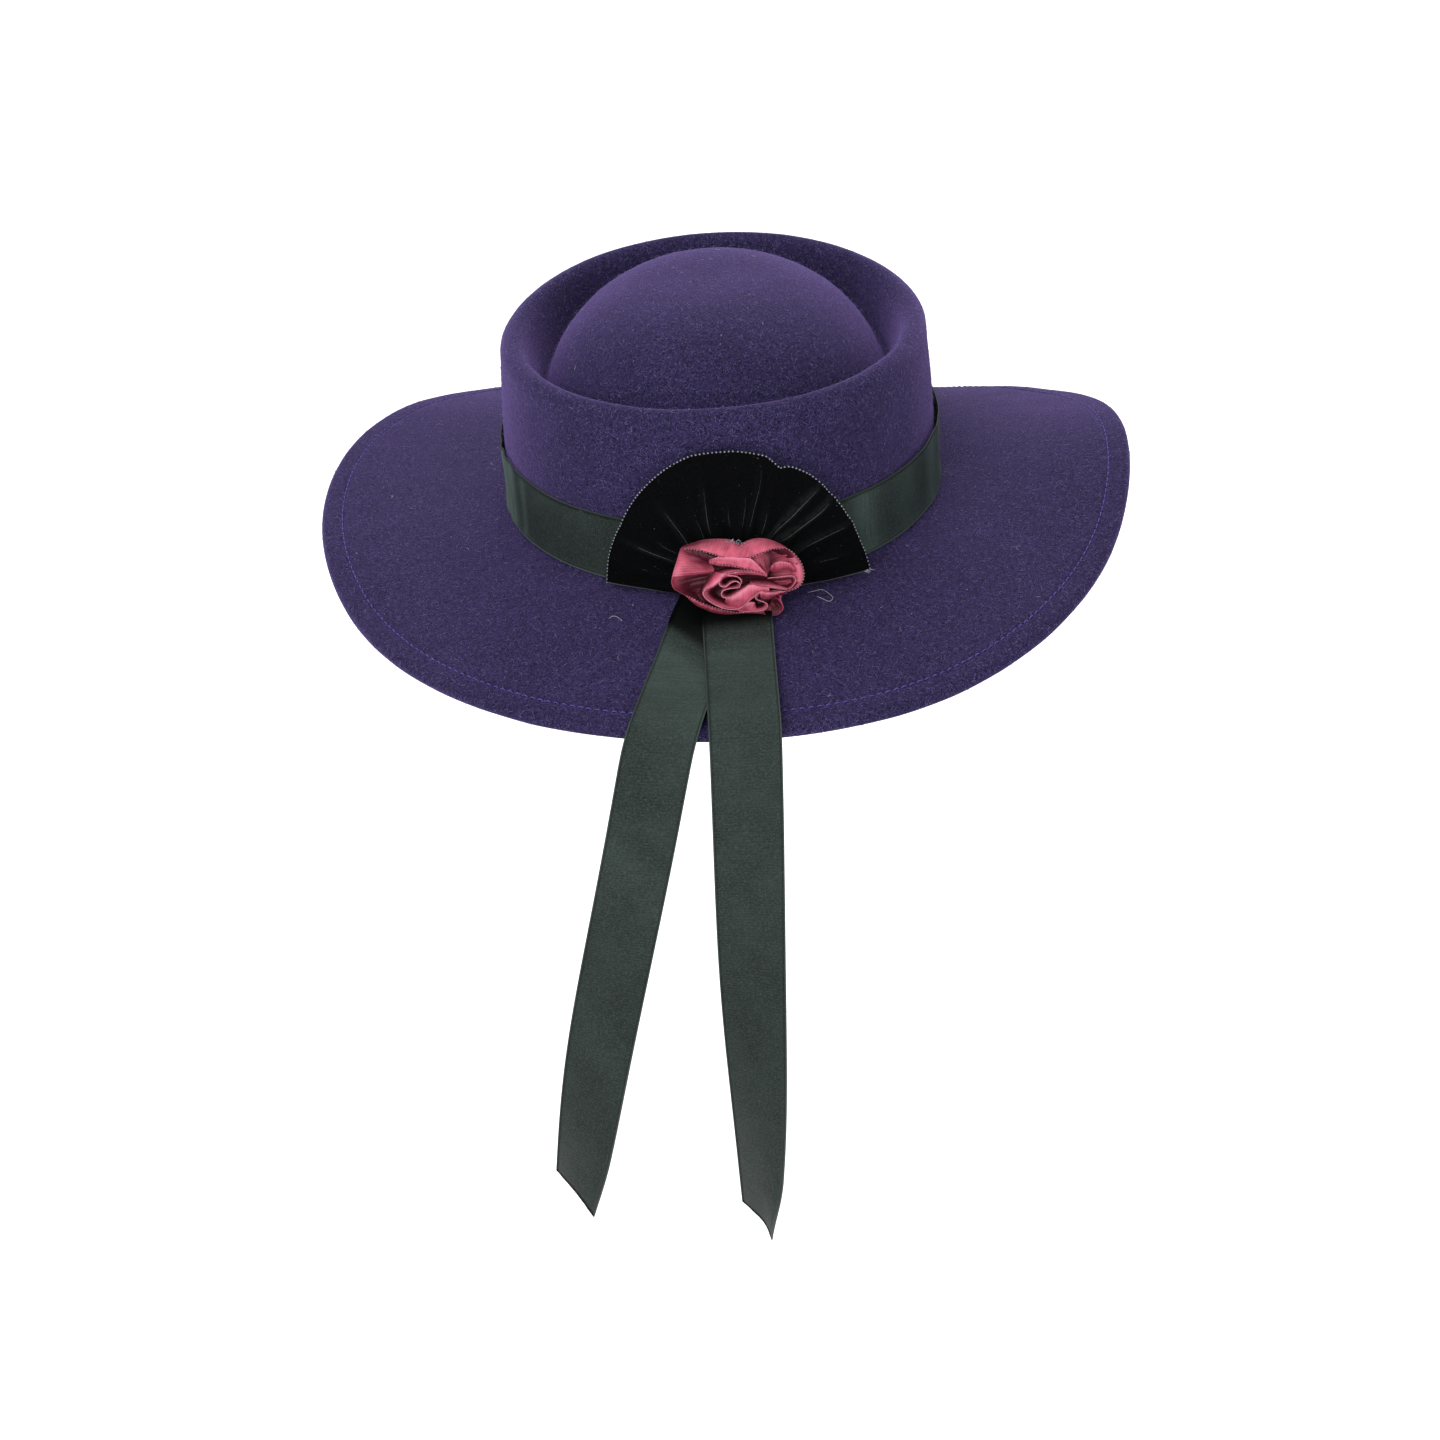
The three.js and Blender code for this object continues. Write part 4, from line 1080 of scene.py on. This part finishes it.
def roseRibbonSatin():
    # polyester satin ribbon, woven and gathered: dusty rose with fine cross ribs, painted shade
    # low in the folds and a painted highlight along the free edges
    material = newMaterial("roseRibbonSatin")
    mark = addNode(material, "Attribute", attribute_name="clothPlaceAndPaintedLight").outputs["Vector"]
    place = addNode(material, "TexCoord").outputs["Object"]
    split = addNode(material, "SeparateXYZ", {"Vector": mark})
    cloud = addNode(material, "TexNoise", {
        "Vector": place, "Scale": 1 / (5 * mm), "Detail": 3, "Roughness": 0.6}).outputs[0]
    # real ribs are about 0.2 mm apart; drawn at 0.45 mm so that they show
    ribs = addNode(material, "TexWave", {
        "Vector": mark, "Scale": 1 / (2 * math.pi * 0.45), "Distortion": 0.8, "Detail": 1.0,
    }, bands_direction="X").outputs["Fac"]
    uneven = addNode(material, "MapRange", {
        "Value": cloud, "From Min": 0.3, "From Max": 0.7}).outputs[0]
    colour = addNode(material, "Mix", {
        0: uneven, 6: linearColour("862b41"), 7: linearColour("c8566f"),
    }, data_type="RGBA").outputs[2]
    floats = addNode(material, "MapRange", {"Value": ribs, "To Max": 0.3}).outputs[0]
    ribbed = addNode(material, "Mix", {
        0: floats, 6: colour, 7: linearColour("d26a84")}, data_type="RGBA").outputs[2]
    # painted shade: darker where the petals sink low in the folds
    paintedShade = addNode(material, "MapRange", {
        "Value": split.outputs["Z"], "From Min": 0.1, "From Max": 0.66, "To Max": 0.92}).outputs[0]
    withPaintedShade = addNode(material, "Mix", {
        0: paintedShade, 6: ribbed, 7: linearColour("3a0b18")}, data_type="RGBA").outputs[2]
    # painted highlight: lighter near the free edges, where the floats would lie towards the light
    paintedEdgeHighlight = addNode(material, "MapRange", {
        "Value": split.outputs["Z"], "From Min": 0.0, "From Max": -1.0}).outputs[0]
    withPaintedHighlight = addNode(material, "Mix", {
        0: paintedEdgeHighlight, 6: withPaintedShade, 7: linearColour("e88ba2")}, data_type="RGBA").outputs[2]
    rough = addNode(material, "Bump", {
        "Height": ribs, "Distance": 0.08 * mm, "Strength": 0.4}).outputs[0]
    normal = addNode(material, "Bump", {
        "Height": cloud, "Distance": 0.5 * mm, "Strength": 0.35, "Normal": rough}).outputs[0]
    shader = addNode(material, "BsdfPrincipled", {
        "Base Color": withPaintedHighlight, "Normal": normal, "Roughness": 0.4, "IOR": 1.57,
        "Specular IOR Level": 0.22,
        "Sheen Weight": 0.07, "Sheen Roughness": 0.35, "Sheen Tint": linearColour("e27f97")})
    addNode(material, "OutputMaterial", {"Surface": shader.outputs[0]})
    return material


roseOut = Vector(rosette["out"]).normalized()
roseSide = Vector(rosette["right"])
roseRight = (roseSide - roseOut * roseSide.dot(roseOut)).normalized()
roseUp = roseOut.cross(roseRight)


def inRosette(point):
    # from the rosette's own right, up and out to the hat's frame
    return Vector(rosette["place"]) + roseRight * point[0] + roseUp * point[1] + roseOut * point[2]


def petalLength(petal):
    return sum(math.dist(a, b) for a, b in zip(petal["edge"], petal["edge"][1:]))


def petalPoint(petal, share, across):
    foot = throughPoints(petal["foot"], share)
    edge = throughPoints(petal["edge"], share)
    point = foot.lerp(edge, across)
    swell = petal["bulge"] * math.sin(math.pi * across)
    ripple = rosette["ripple"] * noise.noise(Vector((point.x, point.y, share * 9)) / 2.2)
    # small puckers run out from the gathered foot and die away towards the edge
    turns = petalLength(petal) / rosette["gatherPitch"]
    wander = noise.noise(Vector((share * turns * 0.7, petal["bulge"] * 5, 0)))
    pucker = math.sin(2 * math.pi * share * turns + 5 * wander)
    pucker *= rosette["gatherDepth"] * across ** 0.5 * (1 - across) * 2 * (0.5 + 0.5 * wander)
    return inRosette(point + Vector((0, 0, swell + pucker + ripple * math.sin(math.pi * across))))


def basePoint(share, across):
    # gathered disc that the petals are sewn to
    angle, out = 2 * math.pi * share, mix(0.03, 1, across)
    pucker = rosette["basePuckerDepth"] * out * math.sin(rosette["basePuckers"] * angle)
    return inRosette((rosette["baseWidth"] * out * math.cos(angle),
                      rosette["baseHeight"] * out * math.sin(angle),
                      rosette["baseFront"] - rosette["baseDrop"] * out * out + pucker))


def makeRosette():
    width = rosette["weaveWidth"]
    # the gathered base disc is drawn all in painted shade
    points, faces, marks = clothSheet(
        basePoint, rosette["baseSteps"], rosette["baseAcross"], rosette["thickness"],
        roundAlong=True,
        marks=lambda share, across: (share * rosette["weaveRound"], across * width, 1))
    for number, petal in enumerate(petals):
        def place(share, across, petal=petal):
            return petalPoint(petal, share, across)

        length = petalLength(petal)

        def mark(share, across, number=number, length=length, petal=petal):
            foot, edge = throughPoints(petal["foot"], share), throughPoints(petal["edge"], share)
            # painted shade by how low the petal lies, painted highlight towards its free edge
            paintedShadeAmount = (rosette["darkBelow"] - mix(foot.z, edge.z, across)) / rosette["darkOver"]
            paintedShadeAmount *= petal.get("shade", 1)
            paintedLightLevel = rosette["paintedLightLevel"] * ease(across, 0.45, 1) * (1 - clamp(2 * paintedShadeAmount))
            far = share * length + number * rosette["weaveShift"]
            return (far, across * width, clamp(paintedShadeAmount) - paintedLightLevel)

        more = clothSheet(place, rosette["steps"], rosette["across"], rosette["thickness"],
                          start=len(points), marks=mark)
        points += more[0]
        faces += more[1]
        marks += more[2]
    return points, faces, marks


def makeTrims(wanted):
    # woven edges of the ribbon: thread loops where they stand out, else a plain cord. The pale
    # cords along rolled edges are partly painted highlight, and the dark ground cord partly
    # painted shade
    parts = []
    for petal in petals:
        for kind in ("picot", "cord"):
            if kind not in petal or kind not in wanted:
                continue
            across = 1 if petal[kind] == "edge" else 0
            steps = rosette["trimSteps"]
            shares = [step / steps for step in range(steps + 1)]
            edge = [petalPoint(petal, share, across) + roseOut * 0.12 for share in shares]
            inner = [petalPoint(petal, share, 0.8 if across else 0.2) for share in shares]
            if wanted != ("picot",):
                size = rosette["cord"] if kind == "cord" else rosette["ground"]
                parts.append(lambda start, line=edge, size=size: roundThread(line, size, 5, start))
                continue
            travelled, nextLoop = 0, rosette["loopStart"]
            for at in range(1, steps + 1):
                travelled += (edge[at] - edge[at - 1]).length
                if travelled >= nextLoop:
                    beyond = (edge[at] - inner[at]).normalized() * rosette["loopBeyond"]
                    centre = edge[at] + beyond + roseOut * rosette["loopUp"]
                    parts.append(lambda start, centre=centre: roundBead(
                        centre, rosette["loop"], start))
                    nextLoop += rosette["loopPitch"]
    return gather(parts)


rosePoints, roseFaces, roseMarks = makeRosette()
rose = makePiece("ribbonRosette", rosePoints, roseFaces, roseRibbonSatin(), "rose_ribbon",
                 node="ribbon_rosette", cloth=roseMarks)
roseThread = threadSpun("rosePolyesterThread", "d58a9d")
makePiece("rosettePicots", *makeTrims(("picot",)), roseThread, "rose_ribbon")
makePiece("rosetteCords", *makeTrims(("cord",)), roseThread, "rose_ribbon")
# dark ground cord: the thread under the loops, and painted shade between them
deepThread = threadSpun("roseThreadDeep", "6a2638")
makePiece("rosettePicotGround", *makeTrims(("picot", "ground")), deepThread, "rose_ribbon")
print("rosette made")

# two tails of the same satin, over the brim and down behind the wearer
tailRibbon = {
    "width": 25.4, "onBrim": 68, "thickness": 0.45, "across": 12, "solidThickness": 1.0,
    "flatSteps": 50, "foldSteps": 6, "hangSteps": 110, "bendReach": 9.5, "bendLift": 3.2,
}
tails = [
    {"name": "leftTail", "node": "left_tail", "side": -7.5, "start": 108.5, "heading": -17.5,
     "layer": 0, "lean": -13.8, "hang": 201.2, "point": 0.8, "twist": 50, "twistPower": 2.4,
     "curl": 0.9, "wave": 1.2, "phase": 0.4, "corner": 6, "slant": -15,
     # painted sheen along the ribbon: millimetres from its start, strength. Below 0 it paints
     # shade instead, as under the rosette and where the ribbon hangs away from the light.
     "paintedLightTable": [(0, -1.0), (24, -1.0), (27, -0.4), (29.5, 0.0), (38, 0.2), (54, 0.18), (78, 0.02),
               (105, -0.2), (125, 0.05), (140, 0.04), (160, -0.25), (182, -0.3), (200, -0.2),
               (214, -0.25), (230, -0.33), (246, -0.3), (270, -0.4)]},
    {"name": "rightTail", "node": "right_tail", "side": 0.6, "start": 108.5, "heading": -0.5,
     "layer": 1, "lean": -2, "hang": 215.5, "point": 0.2, "twist": 60, "twistPower": 1.6,
     "curl": 1.1, "wave": 0.9, "phase": 2.1, "corner": 12, "slant": 3,
     "paintedLightTable": [(0, -1.0), (16, -0.95), (20, -0.5), (25, 0.0), (34, 0.14), (60, 0.1), (85, 0.02),
               (105, 0.0), (135, -0.1), (160, -0.25), (185, -0.3), (205, -0.33), (225, -0.3),
               (245, -0.35), (262, -0.3), (283, -0.4)]},
]


def edgeCurve(x):
    halfWidth = hat["crownHalfWidth"] + hat["brimWidth"] - hat["brimExtraFront"]
    return halfLength(halfWidth) * (1 - math.sqrt(1 - (x / halfWidth) ** 2))


def tailPoint(tail, share, across):
    solid = tailRibbon["solidThickness"]
    lift = gap + tail["layer"] * (solid + gap)
    foldRadius = hat["weltThickness"] / 2 + lift
    edgeReach = halfLength(hat["crownHalfWidth"] + hat["brimWidth"]) - hat["brimExtraFront"]
    edgeMiddle = edgeReach - hat["weltThickness"] / 2
    heading, lean = tail["heading"] * degree, tail["lean"] * degree
    flat = (edgeMiddle - tail["start"]) / math.cos(heading)
    fold = foldRadius * math.pi / 2
    side, out = (across - 0.5) * tailRibbon["width"], solid / 2
    flatSteps, foldSteps = tailRibbon["flatSteps"], tailRibbon["foldSteps"]
    step = share * (flatSteps + foldSteps + tailRibbon["hangSteps"])
    start = tail["side"] + side * math.cos(heading)
    edgeX = start + flat * math.sin(heading)
    edgeY = -edgeMiddle + edgeCurve(edgeX)
    flatHere = (side * math.sin(heading) - edgeY - tail["start"]) / math.cos(heading)
    if step <= flatSteps:
        along = flatHere * step / flatSteps
        x = start + along * math.sin(heading)
        y = -tail["start"] - along * math.cos(heading) + side * math.sin(heading)
        slack = 0.5 * math.sin(math.pi * step / flatSteps) * (1 + math.sin(along / 7))
        return Vector((x, y, brimHeight(x, y) + lift + out + slack))
    edgeZ = brimHeight(edgeX, edgeY) - hat["weltThickness"] / 2
    turn = (step - flatSteps) / foldSteps
    if turn < 1:
        reach = foldRadius + out
        return Vector((
            start + (flatHere + turn * fold) * math.sin(heading),
            edgeY - reach * math.sin(turn * math.pi / 2),
            edgeZ + reach * math.cos(turn * math.pi / 2),
        ))
    low = (step - flatSteps - foldSteps) / tailRibbon["hangSteps"]
    drop = low * (tail["hang"] + tail["point"] * (across - 0.5)) + (flat - flatHere) * low
    twist = tail["twist"] * degree * low ** tail["twistPower"]
    middleX = tail["side"] + (flat + fold) * math.sin(heading) + drop * math.sin(lean)
    # the ribbon cups a little across, and swings in a slow wave as it hangs
    settle = ease(low, 0, 0.25)
    cup = tail["curl"] * settle * (1 - (2 * across - 1) ** 2) * math.sin(low * 5 + tail["phase"])
    wave = tail["wave"] * settle * math.sin(low * 7.5 + tail["phase"])
    ragged = 0.3 * noise.noise(Vector((side * 1.7, tail["phase"] * 9, 0))) if low > 0.999 else 0
    away = out + cup + wave
    # the lower corner curls back
    bent = twist + tail["corner"] * degree * ease(low, 0.88, 1.0) * ease(across, 0.2, 1)
    return Vector((
        middleX + side * math.cos(bent) + away * math.sin(twist),
        edgeY - foldRadius - side * math.sin(bent) - away * math.cos(twist),
        edgeZ - (drop + ragged) * math.cos(lean),
    ))


def easedTail(tail, rows, columns):
    # satin doesn't crease over the rounded edge: the path is evened out over the bend, which
    # then stands off the edge a little
    grid = []
    for column in range(columns + 1):
        line = [tailPoint(tail, row / rows, column / columns) for row in range(rows + 1)]
        lengths = [0.0]
        for before, after in zip(line, line[1:]):
            lengths.append(lengths[-1] + (after - before).length)
        middle = lengths[tailRibbon["flatSteps"] + tailRibbon["foldSteps"] // 2]
        reach = tailRibbon["bendReach"]
        ends = [lengths[0]] + lengths + [lengths[-1]]
        gaps = [(after - before) / 2 for before, after in zip(ends, ends[2:])]
        eased = []
        for at, point in zip(lengths, line):
            if abs(at - middle) > 3.2 * reach:
                eased.append(point)
                continue
            total, weights = Vector(), 0
            for index, (other, spot) in enumerate(zip(lengths, line)):
                if abs(other - at) < 2.6 * reach:
                    weight = bump(other, at, reach) * gaps[index]
                    total += spot * weight
                    weights += weight
            share = 1 - ease(abs(at - middle), 2.2 * reach, 3.2 * reach)
            out = Vector((0, -0.74, 0.67)) * tailRibbon["bendLift"] * bump(at, middle, reach * 1.5)
            eased.append(point.lerp(total / weights, share) + out)
        grid.append(eased)
    return grid


for tail in tails:
    allSteps = tailRibbon["flatSteps"] + tailRibbon["foldSteps"] + tailRibbon["hangSteps"]
    length = tail["hang"] + tailRibbon["onBrim"]
    tailGrid = easedTail(tail, allSteps, tailRibbon["across"])

    def tailMark(share, across, length=length, tail=tail):
        # share counts steps, which are shorter on the brim than below it
        brimShare, brimLength = tailRibbon["flatSteps"] / allSteps, tailRibbon["onBrim"]
        if share < brimShare:
            far = brimLength * share / brimShare
        else:
            far = mix(brimLength, length, (share - brimShare) / (1 - brimShare))
        # painted sheen and painted shade from the table, slanted across the ribbon
        paintedLightLevel = straightTable(tail["paintedLightTable"], far + tail["slant"] * (across - 0.5))
        cut = ease(far, length - 1.9, length - 0.4)
        return (far, (across - 0.5) * tailRibbon["width"], paintedLightLevel * (1 - cut) - cut)

    def tailPlace(share, across, grid=tailGrid):
        return grid[round(across * tailRibbon["across"])][round(share * allSteps)]

    piece = makeCloth(tail["name"], tailPlace, allSteps, tailRibbon["across"],
                      tailRibbon["thickness"], satin, "satin_ribbon", tail["node"], tailMark)
print("tails made")

# loose ends and lint: a tuft over the rosette, curled threads, frayed velvet, stray fibres
looseThreads = {
    "tuft": {"count": 30, "from": (-4.8, 12.2, 6.6), "to": (1.2, 12.6, 7.0), "radius": 0.08},
    "curl": [(27.2, -107.8, -1.2), (29.8, -107.2, -1.0), (32.4, -106.6, -1.0),
             (34.5, -108.4, -1.6), (36.1, -111.2, -2.4), (34.5, -112.9, -2.8),
             (32.4, -111.8, -2.2), (30.3, -110.1, -1.8)],
    "curlLeft": [(-46.3, -112.1, -3.6), (-44.8, -111.4, -3.1), (-43.0, -112.4, -3.2),
                 (-41.5, -114.5, -3.7)],
    "radius": 0.12, "frayCount": 9, "frayRadius": 0.11, "seed": 5,
    # lint: how far out it lies on the brim and on the dome
    "lintCount": 150, "lintOnBrim": (92, 152), "lintOnDome": (8, 60),
}


def smoothThread(points, steps=18):
    return [throughPoints(points, step / steps) for step in range(steps + 1)]


def makeTuft(first, every):
    chance = random.Random(looseThreads["seed"] + first)
    tuft = looseThreads["tuft"]
    parts = []
    for number in range(first, tuft["count"], every):
        share = number / (tuft["count"] - 1)
        start = Vector(tuft["from"]).lerp(Vector(tuft["to"]), share)
        points = [start]
        for step in range(3):
            points.append(points[-1] + Vector((
                chance.uniform(-1, 1), chance.uniform(-1.1, 0.9), chance.uniform(0, 0.5))) * 0.9)
        line = [inRosette(point) for point in smoothThread(points, 10)]
        parts.append(lambda start, line=line: roundThread(line, tuft["radius"], 4, start))
    return parts


def makeFray():
    # cut threads at the velvet's lower right corner
    chance = random.Random(looseThreads["seed"] + 7)
    parts = []
    for number in range(looseThreads["frayCount"]):
        corner = cockadePlace(1, 0.94 + 0.06 * chance.random())[0] + Vector((0, -0.7, 0))
        way = Vector((
            chance.uniform(0.6, 2.2), chance.uniform(-0.5, 0.2), chance.uniform(-0.8, 1.2)))
        line = [corner, corner + way * 0.5 + Vector((0, 0, 0.2)), corner + way]
        parts.append(lambda start, line=line: roundThread(
            line, looseThreads["frayRadius"], 4, start))
    return parts


def makeLint():
    # short pale fibres that lie about on the felt
    chance = random.Random(looseThreads["seed"] + 3)
    parts = []
    for number in range(looseThreads["lintCount"]):
        onBrim = chance.random() < 0.7
        reach = looseThreads["lintOnBrim" if onBrim else "lintOnDome"]
        radius = mix(*reach, chance.random())
        height = 0 if onBrim else domeHeight(radius / hat["domeHalfWidth"])
        angle = chance.random() * 2 * math.pi
        way, length = chance.random() * 2 * math.pi, mix(0.3, 3.2, chance.random() ** 3)
        line = []
        for step in range(4):
            go = way + 0.9 * step * (chance.random() - 0.3)
            far = length * (step / 3 - 0.5)
            near = max(0.5, radius + far * math.cos(go))
            level = height if onBrim else domeHeight(min(0.99, near / hat["domeHalfWidth"]))
            spot = feltPoint(near, angle + far * math.sin(go) / near, level)
            line.append(spot + Vector((0, 0, 0.18 + 0.15 * chance.random())))
        thick = mix(0.05, 0.13, chance.random() ** 2)
        parts.append(lambda start, line=line, thick=thick: roundThread(line, thick, 4, start))
    return parts


def threadAlong(name):
    line = smoothThread(looseThreads[name], 28)
    return lambda start: roundThread(line, looseThreads["radius"], 5, start)


paleThread = threadSpun("cottonLintPale", "a9a6b4")
greenThread = threadSpun("greenPolyesterThread", "123526")
paleParts = makeTuft(0, 3) + makeTuft(1, 3) + makeFray() + makeLint()
makePiece("paleThreads", *gather(paleParts), paleThread, "velvet_ribbon")
makePiece("curledThreads", *gather([threadAlong("curl"), threadAlong("curlLeft")]), greyThread,
          "velvet_ribbon")
makePiece("greenThreads", *gather(makeTuft(2, 3)), greenThread, "velvet_ribbon")
print("loose threads made")

# stage: a plain pale floor under the tails, and soft studio light from above, front and behind
stage = {"floor": -0.4, "size": 16.0, "air": 0.5, "glow": 0.5, "lamps": [
    # place, size, power, aim
    ((-0.45, 0.25, 1.65), 1.5, 14, (0, 0, 0)),
    ((-0.7, -1.4, 0.9), 1.4, 17, (0, -0.05, -0.05)),
    ((0.8, -1.3, 0.6), 1.2, 5, (0, -0.05, -0.05)),
    ((0.3, 1.4, 0.9), 1.0, 12, (0, 0, 0.02)),
]}
floorMesh = bpy.data.meshes.new("studioFloor")
half = stage["size"] / 2
floorMesh.from_pydata(
    [(-half, -half, 0), (half, -half, 0), (half, half, 0), (-half, half, 0)], [], [(0, 1, 2, 3)])
floor = bpy.data.objects.new("studioFloor", floorMesh)
floor.location.z = stage["floor"]
bpy.context.scene.collection.objects.link(floor)
# opal acrylic sheet, cast and lit from below: even white, with a faint cloud in it
acrylic = newMaterial("acrylicSheetOpal")
cloud = addNode(acrylic, "TexNoise", {
    "Vector": addNode(acrylic, "TexCoord").outputs["Object"], "Scale": 1 / (3 * mm)}).outputs[0]
tone = addNode(acrylic, "Mix", {
    0: cloud, 6: linearColour("f6f6f6"), 7: linearColour("fcfcfc")}, data_type="RGBA").outputs[2]
plain = addNode(acrylic, "BsdfPrincipled", {
    "Base Color": tone, "Roughness": 1.0, "IOR": 1.49, "Specular IOR Level": 0.0,
    "Emission Color": linearColour("ffffff"), "Emission Strength": stage["glow"]})
addNode(acrylic, "OutputMaterial", {"Surface": plain.outputs[0]})
floorMesh.materials.append(acrylic)

for number, (place, size, power, aim) in enumerate(stage["lamps"]):
    lampData = bpy.data.lights.new(f"softbox{number}", "AREA")
    lampData.size = size
    lampData.energy = power
    lamp = bpy.data.objects.new(f"softbox{number}", lampData)
    way = Vector(aim) - Vector(place)
    facing = way.to_track_quat("-Z", "Y").to_matrix().to_4x4()
    lamp.matrix_world = Matrix.Translation(Vector(place)) @ facing
    bpy.context.scene.collection.objects.link(lamp)
world = bpy.data.worlds.new("studioAir")
world.use_nodes = True
air = world.node_tree.nodes["Background"]
air.inputs["Color"].default_value = (1, 1, 1, 1)
air.inputs["Strength"].default_value = stage["air"]
bpy.context.scene.world = world
bpy.context.scene.view_settings.view_transform = "Standard"
print("stage set")
